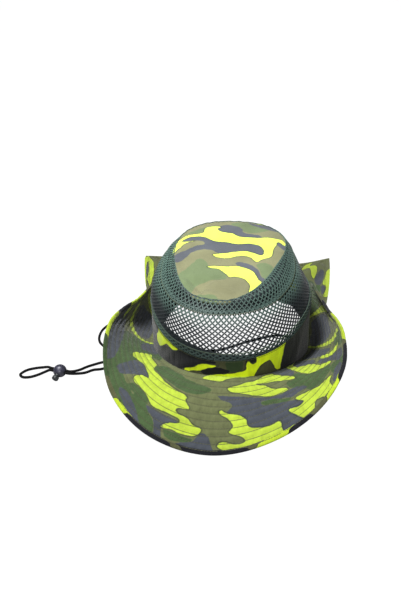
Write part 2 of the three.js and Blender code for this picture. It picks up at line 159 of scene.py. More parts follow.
def brim_point(angle, share, lift=0.0):
    angle, share, lift = np.broadcast_arrays(*(np.asarray(v, float) for v in (angle, share, lift)))
    bend = np.radians(around("bend", angle))
    root = np.arctan2(around("up", angle), around("out", angle)) - bend / 2
    half = bend * share / 2
    chord = brim_width(angle) * share * np.sinc(half / np.pi)
    slope = root + bend * share
    root_gap = CROWN_CLOTH / 2 + GAP + BRIM_CLOTH / 2 * np.abs(np.sin(root))
    out = root_gap + chord * np.cos(root + half) - lift * np.sin(slope)
    z = around("seam", angle) + chord * np.sin(root + half) + lift * np.cos(slope)
    lean = around("swing", angle) * share**2
    base, outward = oval_point(HEAD, angle), oval_outward(HEAD, angle)
    x = base[..., 0] + outward[..., 0] * out - outward[..., 1] * lean
    y = base[..., 1] + outward[..., 1] * out + outward[..., 0] * lean
    return np.stack([x, y, z], -1)


print("brim width, front and side, mm", brim_width(np.array([270.0, 0.0])).round(1))

# %% [markdown]
# The crown is a stack of ovals. Each row is one level of it, with its middle, its taper from
# back to front, and how its height changes round the head. The net follows these ovals, and
# a few soft dents break the wall as they do on a hat that has been worn.

# %% The crown's levels
CROWN_COLUMNS = ["half_width", "half_length", "roundness", "x", "y", "taper", "height", "tilt", "flank"]
CROWN_LEVELS = [
    (81.5, 97, 2.1, 0, 0, 0, 58, 2, 17),
    (79.5, 94, 2.15, -2, 0, 0, 76, 5, 10),
    (73.5, 87, 2.25, -4, 1, 0.03, 95, 9, 4),
    (58.5, 71.5, 2.5, -3, 3, 0.08, 111, 11, 0),
]
# Each dent: at, spread, level, reach, depth.
NET_DENTS = [
    (222, 11, 0.45, 0.5, 3.5), (246, 10, 0.55, 0.5, 3), (285, 16, 0.6, 0.5, 4),
    (318, 12, 0.5, 0.5, 3), (20, 14, 0.6, 0.5, 2.5), (95, 18, 0.5, 0.5, 4),
]
RIM = dict(zip(CROWN_COLUMNS, CROWN_LEVELS[-1]))


def crown_level(level):
    last = len(CROWN_LEVELS) - 1
    place = np.asarray(level, float) * last
    i = np.clip(np.floor(place).astype(int), 0, last - 1)
    oval = {}
    for name in CROWN_COLUMNS:
        v = table_column(CROWN_LEVELS, CROWN_COLUMNS, name)
        at = lambda k: v[np.clip(k, 0, last)]
        slopes = (at(i + 1) - at(i - 1)) / 2, (at(i + 2) - at(i)) / 2
        oval[name] = hermite(at(i), at(i + 1), *slopes, 1.0, place - i)
    return oval


def crown_outline(oval, angle, share):
    p = oval_point(oval, angle) * np.asarray(share)[..., None]
    wider = 1 + oval["taper"] * np.sin(np.radians(angle))
    return np.stack([p[..., 0] * wider + oval["x"], p[..., 1] + oval["y"]], -1)


def crown_middle(angle, level):
    angle, level = np.broadcast_arrays(np.asarray(angle, float), np.asarray(level, float))
    oval = crown_level(level)
    p, outward = crown_outline(oval, angle, np.ones_like(angle)), oval_outward(oval, angle)
    push = np.zeros_like(angle)
    for at, spread, middle, reach, depth in NET_DENTS:
        push -= depth * bump(angle_between(angle, at) / (2 * spread)) * bump((level - middle) / reach)
    radians = np.radians(angle)
    z = oval["height"] + oval["tilt"] * np.sin(radians) + oval["flank"] * np.cos(radians) ** 2
    return np.stack([p[..., 0] + outward[..., 0] * push, p[..., 1] + outward[..., 1] * push, z], -1)


def crown_point(angle, level, lift=0.0):
    angle, level, lift = np.broadcast_arrays(*(np.asarray(v, float) for v in (angle, level, lift)))
    beside = crown_middle(angle + 1, level) - crown_middle(angle - 1, level)
    above = crown_middle(angle, np.minimum(level + 0.02, 1)) - crown_middle(angle, np.maximum(level - 0.02, 0))
    normal = np.cross(beside, above)
    normal /= np.linalg.norm(normal, axis=-1, keepdims=True)
    return crown_middle(angle, level) + normal * lift[..., None]


def band_point(angle, share, lift=0.0):
    angle, share, lift = np.broadcast_arrays(*(np.asarray(v, float) for v in (angle, share, lift)))
    foot = around("seam", angle) - SEAM_ALLOWANCE
    top = crown_middle(angle, 0.0 * angle)
    base, outward = oval_point(HEAD, angle), oval_outward(HEAD, angle)
    side = [base[..., k] + (top[..., k] - base[..., k]) * share + outward[..., k] * lift for k in (0, 1)]
    return np.stack([*side, foot + (top[..., 2] - GAP - foot) * share], -1)


print("crown height, front and back, mm", crown_middle(np.array([270.0, 90.0]), 1.0)[:, 2].round(1))

# %% [markdown]
# The chin cord is a whole loop. It leaves the band inside the hat at one side, crosses the
# table, runs out through the lock, turns in its end loop and comes back to the other side.
# The route is a list of places, as a hand would lay them, with one smooth curve through them.

# %% The cord's route
CORD_RADIUS = 1.25
LOCK_MIDDLE = np.array([-172.0, -64.4, 6.9])
LOCK_HEADING, LOCK_DIP, STRAND = math.radians(170), math.radians(14), 1.35
FLOOR = CORD_RADIUS + 0.3

ACROSS = np.array([math.cos(LOCK_HEADING), math.sin(LOCK_HEADING), 0.0])
PLUNGE = np.array([-math.sin(LOCK_HEADING) * math.cos(LOCK_DIP),
                   math.cos(LOCK_HEADING) * math.cos(LOCK_DIP), -math.sin(LOCK_DIP)])
LOCK_UP = np.cross(ACROSS, PLUNGE)


def in_lock(x, y, z=0.0):
    return LOCK_MIDDLE + ACROSS * x + PLUNGE * y + LOCK_UP * z


def cord_exit(angle, further):
    p, outward = oval_point(HEAD, angle), oval_outward(HEAD, angle)
    inset = CROWN_CLOTH / 2 + 2 * GAP + further
    return np.array([*(p - outward * inset), float(around("seam", angle)) - 1.5])


def on_floor(*places):
    return [np.array([x, y, FLOOR]) for x, y in places]


CORD_ROUTE = [
    cord_exit(6, 0), cord_exit(6, 4), np.array([73, 12, 13]), np.array([70, 21, 4.5]),
    *on_floor((63, 31), (49, 34), (20, 20), (-19, -4), (-52, -5), (-90, -20), (-119, -41),
              (-133, -50), (-141, -52.5), (-148, -58)),
    np.array([-154.5, -63, 3.6]),
    in_lock(-11, STRAND), in_lock(-7, STRAND), in_lock(7, STRAND), in_lock(11, STRAND),
    np.array([-188, -63.5, 4]),
    *on_floor((-196, -67), (-203, -71.5), (-210, -72), (-214, -68), (-210.5, -60.5), (-203, -56)),
    np.array([-195, -54.5, 2.2]), np.array([-188, -57, 5]),
    in_lock(11, -STRAND), in_lock(7, -STRAND), in_lock(-7, -STRAND), in_lock(-11, -STRAND),
    np.array([-155, -58.5, 4.4]),
    *on_floor((-148.5, -47), (-139.5, -40.5), (-129, -33), (-129, -21), (-139, -12), (-150, -1),
              (-154.5, 12), (-154, 28), (-147, 40), (-131, 44), (-112, 35), (-94, 20)),
    np.array([-80, 11, 3]), np.array([-73.5, 9, 9.5]), cord_exit(174, 5), cord_exit(174, 0),
]


def smooth_route(points, step):
    """A centripetal curve through all the points, walked in even steps."""
    p = np.array(points, float)
    p = np.vstack([2 * p[0] - p[1], p, 2 * p[-1] - p[-2]])
    knots = np.concatenate([[0], np.cumsum(np.linalg.norm(np.diff(p, axis=0), axis=1) ** 0.5)])
    fine = []
    for i in range(1, len(p) - 2):
        t = np.linspace(knots[i], knots[i + 1], 24, endpoint=False)[:, None]
        t0, t1, t2, t3 = knots[i - 1:i + 3]
        mix = lambda a, b, ta, tb: (tb - t) / (tb - ta) * a + (t - ta) / (tb - ta) * b
        a1, a2, a3 = mix(p[i - 1], p[i], t0, t1), mix(p[i], p[i + 1], t1, t2), mix(p[i + 1], p[i + 2], t2, t3)
        fine.append(mix(mix(a1, a2, t0, t2), mix(a2, a3, t1, t3), t1, t2))
    fine = np.vstack(fine + [p[-2][None]])
    reach = np.concatenate([[0], np.cumsum(np.linalg.norm(np.diff(fine, axis=0), axis=1))])
    even = np.linspace(0, reach[-1], int(reach[-1] / step) + 1)
    return np.stack([np.interp(even, reach, fine[:, k]) for k in range(3)], -1), reach[-1]


cord_path, CORD_LENGTH = smooth_route(CORD_ROUTE, 1.6)
print("cord length, mm", round(CORD_LENGTH, 1), "in", len(CORD_ROUTE), "places")

# %% [markdown]
# Two kinds of sheet are the start of every cloth piece. A ring sheet is an edge circle that is
# extruded upwards row by row, and a flat sheet is a grid. Their plain coordinates say which
# column and row a corner belongs to, so a shape function can lay each corner where it goes.

# %% Helpers for modelling
def deselect():
    if bpy.context.object and bpy.context.object.mode != "OBJECT":
        bpy.ops.object.mode_set(mode="OBJECT")
    bpy.ops.object.select_all(action="DESELECT")


def ring_sheet(name, columns, rows):
    deselect()
    bpy.ops.mesh.primitive_circle_add(vertices=columns, radius=1.0, fill_type="NOTHING")
    sheet = bpy.context.object
    sheet.name = sheet.data.name = name
    bpy.ops.object.mode_set(mode="EDIT")
    bpy.ops.mesh.select_all(action="SELECT")
    for _ in range(rows):
        bpy.ops.mesh.extrude_edges_move(TRANSFORM_OT_translate={"value": (0, 0, 1)})
    bpy.ops.object.mode_set(mode="OBJECT")
    return sheet


def flat_sheet(name, columns, rows):
    deselect()
    bpy.ops.mesh.primitive_grid_add(x_subdivisions=columns, y_subdivisions=rows, size=2.0)
    sheet = bpy.context.object
    sheet.name = sheet.data.name = name
    return sheet


def corners(piece):
    flat = np.empty(len(piece.data.vertices) * 3)
    piece.data.vertices.foreach_get("co", flat)
    return flat.reshape(-1, 3)


def lay(piece, points):
    """Move each corner of a sheet to its point, given in hat millimetres."""
    piece.data.vertices.foreach_set("co", to_scene(points).ravel())
    piece.data.update()


def ring_place(piece):
    """The angle in degrees and the row of every corner of a ring sheet."""
    co = corners(piece)
    return np.mod(np.degrees(np.arctan2(co[:, 1], co[:, 0])), 360.0), co[:, 2].round().astype(int)


def note(piece, **values):
    """Write named values on the corners, for the materials to read."""
    for name, value in values.items():
        value = np.asarray(value, float)
        kind = "FLOAT" if value.ndim == 1 else "FLOAT_VECTOR"
        layer = piece.data.attributes.new(name, kind, "POINT")
        layer.data.foreach_set("value" if value.ndim == 1 else "vector", value.ravel())


def make_active(piece):
    deselect()
    piece.select_set(True)
    bpy.context.view_layer.objects.active = piece


def apply_modifier(piece, kind, **settings):
    make_active(piece)
    modifier = piece.modifiers.new(kind.title(), kind)
    for key, value in settings.items():
        setattr(modifier, key, value)
    bpy.ops.object.modifier_apply(modifier=modifier.name)


def tidy_normals(piece, merge=0.0):
    make_active(piece)
    bpy.ops.object.mode_set(mode="EDIT")
    bpy.ops.mesh.select_all(action="SELECT")
    if merge:
        bpy.ops.mesh.remove_doubles(threshold=merge)
    bpy.ops.mesh.normals_make_consistent(inside=False)
    bpy.ops.object.mode_set(mode="OBJECT")


def smooth(piece, degrees):
    make_active(piece)
    bpy.ops.object.shade_smooth_by_angle(angle=math.radians(degrees))


def thicken(piece, thickness, degrees=60, offset=0.0, merge=0.0, **settings):
    """Give a laid sheet its wall, thickness and merge in metres, and smooth its flatter edges."""
    tidy_normals(piece, merge)
    apply_modifier(piece, "SOLIDIFY", thickness=thickness, offset=offset, use_even_offset=False, **settings)
    smooth(piece, degrees)


def way_round(angle, third):
    """The direction of the puckers on a ring: round the hat first, then the third measure."""
    radians = np.radians(angle)
    return np.column_stack([np.cos(radians), np.sin(radians), third])


def off_line(points, line):
    """How far each point lies from the straight line between two places, x0, y0, x1, y1."""
    x0, y0, x1, y1 = line
    way = np.array([x1 - x0, y1 - y0], float)
    t = np.clip(((points - [x0, y0]) @ way) / (way @ way), 0, 1)
    return np.linalg.norm(points - [x0, y0] - t[:, None] * way, axis=1)


def finish_piece(piece, body, slot, material, *nodes):
    piece.data.materials.clear()
    piece.data.materials.append(material)
    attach(piece, body)
    if nodes:
        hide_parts(*nodes)
    triangles = sum(len(p.vertices) - 2 for p in piece.data.polygons)
    print(piece.name, triangles, "triangles")


# %% [markdown]
# The cloth is printed with a camouflage of four colours: olive for the ground, and green, navy
# grey and bright yellow on top of it. Such a print could be painted as an image, but here each
# patch is a short outline drawn on the flat cloth. For every corner of a piece we
# work out how far it lies inside the nearest patch of each colour, in millimetres. The
# material then only has to ask where that distance is above nought, so the edges stay crisp.

# %% Distances to the printed patches
def rounded(outline):
    """Cut the corners of an outline twice, as a printed patch has none."""
    p = np.array(outline, float)
    for _ in range(2):
        q = np.roll(p, -1, axis=0)
        p = np.stack([0.78 * p + 0.22 * q, 0.22 * p + 0.78 * q], 1).reshape(-1, 2)
    return p


def inside_distance(points, outlines):
    """How far inside the nearest outline each point lies, and less than nought outside."""
    best = np.full(len(points), -60.0)
    for outline in outlines:
        near = (points[:, 0] > outline[:, 0].min() - 12) & (points[:, 0] < outline[:, 0].max() + 12)
        near &= (points[:, 1] > outline[:, 1].min() - 12) & (points[:, 1] < outline[:, 1].max() + 12)
        if not near.any():
            continue
        p = points[near]
        a, b = outline, np.roll(outline, -1, axis=0)
        side, from_a = b - a, p[:, None] - a[None]
        t = np.clip((from_a * side).sum(-1) / np.maximum((side**2).sum(-1), 1e-9), 0, 1)
        gap = np.linalg.norm(from_a - t[..., None] * side, axis=-1).min(1)
        above = (a[None, :, 1] > p[:, None, 1]) != (b[None, :, 1] > p[:, None, 1])
        rise = np.where(np.abs(side[:, 1]) < 1e-9, 1e-9, side[:, 1])
        cross = a[:, 0] + (p[:, None, 1] - a[:, 1]) * side[:, 0] / rise
        odd = (above & (p[:, None, 0] < cross)).sum(1) % 2 == 1
        best[near] = np.maximum(best[near], np.where(odd, gap, -gap))
    return best


def drifting_patches(seed, count, x_span, y_span, length, width):
    """Patches for the parts that the eye sees last: bent strokes, from a seeded generator."""
    rng = np.random.default_rng(seed)
    across = max(int(round(math.sqrt(count * (x_span[1] - x_span[0]) / (y_span[1] - y_span[0])))), 1)
    down = max(int(math.ceil(count / across)), 1)
    patches = []
    for k in range(across * down):
        x = x_span[0] + (k % across + rng.uniform(0.1, 0.9)) / across * (x_span[1] - x_span[0])
        y = y_span[0] + (k // across + rng.uniform(0.1, 0.9)) / down * (y_span[1] - y_span[0])
        heading, turn = rng.uniform(-0.9, 0.9), rng.uniform(-1.5, 1.5)
        t = np.linspace(-1, 1, 9)
        way = heading + turn * t
        size = length * rng.uniform(0.6, 1.2) / 8
        spine = np.cumsum(np.stack([np.cos(way), np.sin(way)], -1) * size, axis=0)
        spine += [x, y] - spine.mean(0)
        wave = np.sin(2.2 * t * rng.uniform(1, 2) + rng.uniform(0, 6))
        half = width / 2 * np.sqrt(1.06 - t**2) * (1 + 0.4 * wave)
        normal = np.stack([-np.sin(way), np.cos(way)], -1) * half[:, None]
        patches.append(rounded(np.vstack([spine + normal, (spine - normal)[::-1]])))
    return patches


# %% [markdown]
# On the brim an outline is a list of places (angle, millimetres from the seam), read off the
# photo with a ruler grid laid over it. The brim's cloth was cut as a flat ring, so the
# places are turned into that ring before distances are measured. The back of the brim can't
# be seen in the photo, and there the same print comes round again.

# %% The print on the brim
BRIM_YELLOW = [
    [(220.5, 27), (221, 19), (221.5, 8), (227.5, 11), (234.3, 11.5), (235, 17), (237, 19.5), (241, 20),
     (246, 23), (258.7, 28), (257.3, 32), (261, 39.5), (257.5, 40.5), (255.7, 43), (256.5, 46), (260.5, 47),
     (262.4, 52), (265.5, 53.5), (265.8, 55), (264.8, 59.5), (262.8, 62), (259.8, 62), (256.8, 61),
     (254.2, 63.5), (253.8, 61.5), (255, 57.5), (258.5, 54.5), (258.9, 51.5), (258.2, 50), (253.8, 49),
     (247.9, 50), (245.7, 45), (242.1, 42), (237.9, 42.8), (235.3, 40), (236.2, 32), (240.5, 29.5),
     (236, 25.5), (231.3, 22.5), (226, 26.5), (224, 30)],
    [(237.2, 73), (237.5, 67), (239.3, 64), (241.8, 66.5), (240.8, 68.5), (241.2, 73)],
    [(260.3, 5.5), (262.5, 1.8), (266, -2), (272, -2), (280, -2), (286, -2), (285.5, 1.5), (280, 2),
     (275.5, 2.2), (272.5, 4.5), (270.3, 7.3), (266, 6.5)],
    [(273.5, 14.5), (275, 12.5), (280, 10.5), (281.3, 8.5), (288, 7), (292, 4), (297.8, 3), (299, 6),
     (302, 12), (304.3, 16), (305.4, 20.5), (304.2, 22), (298.8, 16), (294, 13), (286.8, 10.5), (288.6, 14),
     (291.5, 15.5), (292.8, 21), (296.4, 24.3), (298.6, 26.5), (298.8, 28.5), (297.6, 29.7), (295.3, 29),
     (292.6, 28.7), (287.7, 26), (283.2, 22), (279.1, 19), (275.1, 17.8)],
    [(270.8, 37.5), (271.8, 35.5), (273.3, 38), (277.3, 39.8), (279.4, 42), (280.6, 45), (280.5, 48.5),
     (280.8, 51), (282.1, 53), (286.4, 54.7), (288.6, 54), (290, 52.3), (290.9, 53.5), (290.4, 60),
     (291, 72), (281, 73), (273.5, 70.5), (271, 67.5), (271.3, 65.3), (272.5, 63), (274, 63.3),
     (276.5, 65.5), (278.7, 65.2), (279.8, 63), (279.3, 60.5), (278.2, 58.5), (274.4, 55.3), (275.3, 53),
     (276.2, 50.5), (275.4, 45.5), (274.2, 42.8), (272, 40)],
    [(313.3, 51), (310.2, 51.5), (309.3, 57), (309, 60), (307.6, 61.5), (305.9, 61), (305, 57),
     (303.2, 54), (302, 55.5), (300.8, 59.5), (300.3, 70), (297.3, 70), (297.3, 62.5), (295.9, 55.5),
     (294.2, 48), (294.6, 46.3), (297, 48.8), (299.1, 49.2), (300.2, 47.5), (299.3, 45), (298, 41.6),
     (298.6, 40.3), (300.5, 41), (304, 43), (307.7, 47), (311.2, 47.5)],
    [(308.3, 0), (312, -1), (315.5, -2.5), (319, -3), (320.5, 0.5), (315, 3), (313, 5), (312.5, 9.5),
     (315.7, 15), (318, 19), (318.4, 24), (317.8, 33), (319.7, 37), (320.3, 42.5), (318.6, 41),
     (316.6, 38), (315.3, 34.3), (311.5, 29.5), (309.8, 25), (309.3, 16.5), (308.8, 8)],
    [(324.5, 23.5), (325.7, 27.5), (325.2, 37), (327.5, 43), (330.5, 48.5), (327, 48), (323.5, 42),
     (323, 36), (322.8, 28)],
    [(350, 0), (344.5, 18.5), (342, 26.5), (341, 36), (342, 50), (338.5, 50), (335.5, 44), (333.5, 37),
     (336, 28), (343, 13.5), (346.5, 1)],
    [(202.5, 1), (203.5, 8), (203, 14), (201.5, 20), (200, 25), (198, 30), (195, 34.5), (190, 38), (184, 41),
     (176, 44), (168, 46), (168, 42), (176, 40), (184, 37), (189, 33.5), (192, 29.5), (194.5, 25.5),
     (197.5, 20),
     (200, 13), (201, 7), (201, 1)],
    [(185, 48), (190, 50), (195, 49), (199, 46), (194, 46.5), (189, 46)],
]
BRIM_NAVY = [
    [(228.5, 50), (228, 40), (226.5, 28), (231, 23), (236, 26), (240.5, 29.5), (236, 33), (234.3, 39),
     (233.5, 43), (232, 50)],
    [(246.5, 52), (248.5, 51), (256, 51.5), (259, 53), (255, 58), (254, 63), (255.5, 73), (252.8, 73),
     (252.3, 66), (251.2, 59), (248.5, 56)],
    [(236.3, 56.5), (238.5, 54), (241, 54.5), (244.5, 59.5), (247, 64), (249, 73), (245.5, 73),
     (243.3, 66), (240, 62.3), (237.3, 60)],
    [(259, 70), (263.6, 66.8), (264.4, 61), (265.8, 57.2), (267.8, 58), (268.9, 65), (270.5, 74), (259, 74)],
    [(269, 22), (277.5, 22.5), (283, 24), (287.5, 27.5), (293, 30), (299, 30.5), (303, 32), (305.5, 39),
     (301.5, 37.5), (297.7, 38), (295.5, 36), (291, 30.5), (286, 31), (286.5, 34.7), (291, 36.5),
     (295, 39.3), (298, 42), (299.5, 45), (300.3, 47.5), (299, 49.3), (297, 49), (294.3, 47), (294.5, 49),
     (296, 56), (297.5, 63), (297.5, 73), (291, 73), (290.4, 60), (290.8, 53.5), (289.8, 52.3),
     (286.4, 54.5), (282.1, 52.8), (280.8, 51), (280.6, 45), (279.4, 42), (273.3, 37.8), (274.5, 36),
     (276, 31.5), (275, 28.5), (271.5, 26)],
    [(296, -2), (300, -2), (306, -2), (308.5, 4), (309, 12), (306, 18), (303, 13), (300, 6)],
    [(313, 5), (315, 3), (320.5, 1), (323, 8), (323, 20), (320, 24), (318.3, 23), (317.5, 17),
     (315.7, 14.5), (312.5, 9)],
    [(320.5, 24), (322.8, 29), (323, 36), (323.7, 43), (326, 52), (322, 56), (319.5, 52), (320.3, 43),
     (319.7, 37), (318.5, 30)],
    [(311.5, 54), (315, 50), (319, 52), (318, 57), (313, 60), (310, 58)],
    [(325, 2), (334, 4), (343, 6), (338, 16), (333, 27), (329, 38), (326, 33), (325, 20)],
    [(347, 6), (354, 2), (361, 8), (362, 24), (356, 36), (348, 34), (346, 20)],
    [(170, 2), (178, 2), (186, 5), (196, 6), (197.5, 12), (196.5, 20), (192, 27), (186, 33), (176, 35),
     (168, 25)],
    [(188, 50), (194, 43), (201, 39), (208, 38), (214, 39), (220, 42), (225, 48), (226.5, 56), (224, 66),
     (219, 76), (204, 78), (188, 76)],
    [(203, 4), (206, 12), (212, 18), (217, 16), (219, 8), (224, 4), (216, -3), (206, -3)],
]
BRIM_GREEN = [
    [(202, 0), (201.5, 20), (203, 34), (207, 43), (215, 46), (222, 48), (228, 50), (230, 40), (228, 28),
     (223, 20), (226, 9), (232, 6), (226, -2), (212, -3)],
    [(235, 17), (236, 9), (241, 5), (249, 8), (258, 12), (265, 14.5), (267.5, 17), (265, 21), (260, 25),
     (254, 24), (248, 21), (241, 19)],
    [(241.5, 50), (243, 46.5), (246, 50), (248.5, 56), (251.2, 60), (252.5, 67), (253, 74), (248.5, 74),
     (247, 65), (244.5, 60), (241.5, 54.5)],
    [(226, 42), (232, 47), (237, 49), (243, 53), (246, 58), (249, 64), (252, 70), (253, 76), (244, 77),
     (234, 77), (225, 72), (223, 56)],
    [(237.5, 44), (242, 43), (246, 46.5), (247.5, 51), (244, 50), (240, 50), (236.5, 49)],
    [(254.5, 64), (257, 62.5), (260, 63.5), (263, 64), (264.2, 62), (263.5, 66), (260, 69.5), (256.5, 70)],
    [(285.9, 31.5), (291, 30.5), (295.5, 36.3), (297.7, 38.3), (295, 39), (291, 36.3), (286.7, 34.6)],
    [(300, 20), (304, 22.5), (305.5, 20.5), (304.5, 16), (308, 17), (309.5, 25), (311.5, 30), (315, 34.5),
     (316.5, 38.5), (318, 42), (316, 46), (312, 46), (308, 46), (304, 42), (303, 33), (299, 28)],
    [(313.5, 50), (316, 46), (319, 44), (320, 50), (322, 57), (317, 60), (314, 58)],
    [(330, 40), (334, 42), (340, 53), (352, 52), (352, 60), (330, 60), (326, 52)],
]
SEAM_RADIUS = 90.0


def cut_ring(angle, from_seam):
    radius = SEAM_RADIUS + np.asarray(from_seam, float)
    return np.stack([radius * np.cos(np.radians(angle)), radius * np.sin(np.radians(angle))], -1)


def ring_print(outlines):
    flat = []
    for outline in outlines:
        at = rounded(outline)
        flat.append(cut_ring(at[:, 0], at[:, 1]))
        flat.append(cut_ring(at[:, 0] - 178, at[:, 1]))
    return flat


BRIM_PRINT = {
    "yellow": ring_print(BRIM_YELLOW),
    "navy": ring_print(BRIM_NAVY),
    "green": ring_print(BRIM_GREEN),
}


def print_on(piece, flat, patches):
    """Write the three distances of a print, and the place on the flat cloth, on a piece."""
    note(piece, **{colour: inside_distance(flat, outlines) for colour, outlines in patches.items()})
    note(piece, cloth=np.column_stack([flat / 1000.0, np.zeros(len(flat))]))


print("patches on the brim", {colour: len(shapes) for colour, shapes in BRIM_PRINT.items()})

# %% [markdown]
# The tip, the band and the flap have charts of their own. The tip's is in millimetres across
# and back from the middle of the head, the band's in angle and height, and the flap's in its
# share across and down. Places on the band and the flap are turned into millimetres of cloth.

# %% The print on the tip, the band and the flap
TIP_YELLOW = [
    [(-64, 1), (-63, 14), (-60, 28), (-51.5, 37), (-41, 39.5), (-34.5, 43), (-35.5, 51.5), (-31.5, 56),
     (-21, 58), (-17, 55.7), (-22, 52.5), (-17.5, 46.5), (-11, 46), (-4.4, 45.5), (0.3, 41.8), (4.8, 39),
     (14.5, 38), (26.4, 37), (32.7, 38.4), (41.3, 37), (50, 36), (54, 28), (51.2, 25.7), (46.8, 30.8),
     (43.2, 29.6), (44, 23.7), (40.6, 17.8), (40.5, 8.4), (38.6, 2.7), (32.6, 0.5), (28, -4.3),
     (24.6, -6.4), (22.2, -2), (18, 3), (9.8, 5.3), (3.7, 4), (-1, 1), (-8, -0.5), (-17.5, 1.5), (-21, 5),
     (-13, 7.3), (-3, 10.7), (7, 13.3), (16.4, 13), (23, 9.8), (28.3, 6), (32, 7.6), (31, 17), (25, 24),
     (15.3, 27.5), (1.8, 25.3), (-9, 28.4), (-21.7, 28.4), (-27.4, 32), (-33, 34.7), (-40.6, 34.7),
     (-49.7, 32.4), (-55.3, 27), (-56, 24), (-50.5, 23.2), (-39.5, 27), (-52, 20.4), (-56, 12.5), (-62, 3)],
    [(-23.5, -17), (-14, -15), (-2.3, -14.8), (6.5, -13.4), (12.8, -16), (19, -19), (25.5, -26),
     (29, -35.7), (33.7, -41), (31.6, -45), (29, -51), (24.7, -55.5), (21.5, -56), (22.3, -49),
     (21.4, -42.6), (17.6, -37), (11.5, -33.5), (5.6, -32.4), (1, -34.7), (-1.6, -29.7), (-6, -25),
     (-11.6, -19.3), (-21.6, -19)],
    [(20, 69), (27, 67), (34, 70), (28, 76), (20, 76)],
]
TIP_NAVY = [
    [(-59.5, -4), (-58, 3), (-50.7, 6), (-45.6, 12), (-39, 18), (-30, 22), (-33, 26.5), (-39.5, 27.5),
     (-50, 24.5), (-56, 24), (-55.3, 27.5), (-49.7, 32.5), (-40.6, 35), (-33, 35), (-27.4, 32.5),
     (-21.7, 28.8), (-9, 28.8), (1.8, 25.7), (15.3, 28), (25, 24.5), (31, 17.3), (32.2, 7.4), (28.3, 5.5),
     (23, 9.5), (16.4, 12.7), (7, 13), (-3, 10.3), (-13, 7), (-17, 8.5), (-22, 13), (-32.5, 13.3),
     (-42.5, 5), (-46, -5), (-51.5, -12.5), (-56.5, -11)],
    [(-17.3, 60), (-10.5, 62), (3.2, 57), (6.7, 52), (5.5, 49.3), (15, 45), (24, 43), (29.5, 38.7),
     (26.4, 36.8), (14.5, 37.8), (4.8, 38.8), (0, 41.5), (-4.4, 45.2), (-11, 45.7), (-18, 46.3),
     (-22.3, 52.3)],
    [(8, 73), (18, 67.5), (25.6, 66), (37, 64.5), (46, 57), (48, 51.5), (35, 55), (24, 58.5), (16, 63)],
    [(43, 30), (47, 31.5), (51.5, 26), (55, 22), (55, 17), (49, 19), (44.5, 24)],
    [(3.5, -8), (8.7, -5.4), (17.2, -9.2), (23.6, -14), (29, -21), (31.6, -31), (35.9, -34.3),
     (34, -39.3), (30.5, -37.7), (28, -33.5), (25, -26), (20, -18.7), (13, -15.3), (6.2, -12.8)],
]
TIP_GREEN = [
    [(-58, 38), (-48, 44), (-37, 54), (-31, 57), (-35.5, 52), (-34.5, 44), (-42, 41)],
    [(-8, 66), (2, 70), (10, 70.5), (17, 63.5), (28, 60), (36, 56), (30, 50), (15, 46.5), (6, 49.5),
     (7, 52.5), (3, 57.5), (-7, 61)],
    [(-52, -33), (-42, -22), (-37, -11.5), (-33, -3), (-24, -9), (-21.6, -19), (-11.6, -19.3), (-6, -25),
     (0, -36), (-7, -39), (-16, -37), (-28, -42), (-31, -47), (-31.5, -60), (-40, -58), (-46, -45)],
    [(24, -10), (33, -7), (42, -12), (44, -22), (40, -34), (36.5, -34.5), (32, -30), (29.5, -21)],
    [(-30, -62), (-12, -60), (-5, -66), (-8, -78), (-30, -74)],
]
BAND_YELLOW = [
    [(224.5, 70), (230.5, 68), (235.5, 66), (237, 60.5), (241.8, 58.3), (244.5, 57.3), (240.5, 53.5),
     (236, 54.5), (233, 55), (229.8, 51), (224.5, 44), (219, 47), (219.5, 55), (222.5, 58)],
    [(247.3, 38), (250.3, 41.6), (254, 43.5), (257, 48.3), (260.5, 51.3), (265, 50.5), (269.5, 51.2),
     (266.5, 49), (262, 46), (258, 41.8), (254, 40.5), (251, 37.6)],
    [(310.8, 71), (307.8, 56), (306.5, 42), (305.5, 35), (302, 37), (299.8, 46.5), (297.8, 51),
     (294.5, 51.3), (290.2, 46.3), (288.3, 38), (286, 33), (262, 33), (260.5, 36.5), (266.5, 40.5),
     (276, 42.7), (282.8, 44), (283.8, 46.7), (283.5, 51), (285, 55.8), (286.3, 51.6), (287.8, 50.2),
     (290.2, 52.5), (288.4, 60), (294, 64), (302, 70)],
]
BAND_NAVY = [
    [(190, 14), (190, 80), (222, 70), (222.5, 58), (219.5, 54), (219, 47), (224.5, 44), (230, 51),
     (236, 54), (241, 53.5), (244.5, 57), (252, 60), (262, 60), (269.5, 52.5), (262, 52), (257, 49),
     (254, 44), (250, 42), (247, 38.5), (243, 30), (236, 26), (225, 22)],
    [(258, 42), (262, 46), (267, 49), (272, 48), (276, 44), (266.5, 40.8), (261, 38)],
    [(305.5, 28), (306.5, 42), (308, 56), (311, 72), (320, 80), (344, 80), (344, 12), (330, 12), (316, 22)],
    [(283, 45), (283.5, 60), (288.5, 63), (290, 53), (286.3, 52), (285, 56), (284, 51)],
]
BAND_GREEN = [
    [(273, 43), (272, 58), (283, 60), (281.5, 51), (282.5, 45)],
    [(346, 20), (347, 60), (358, 70), (360, 30)],
]
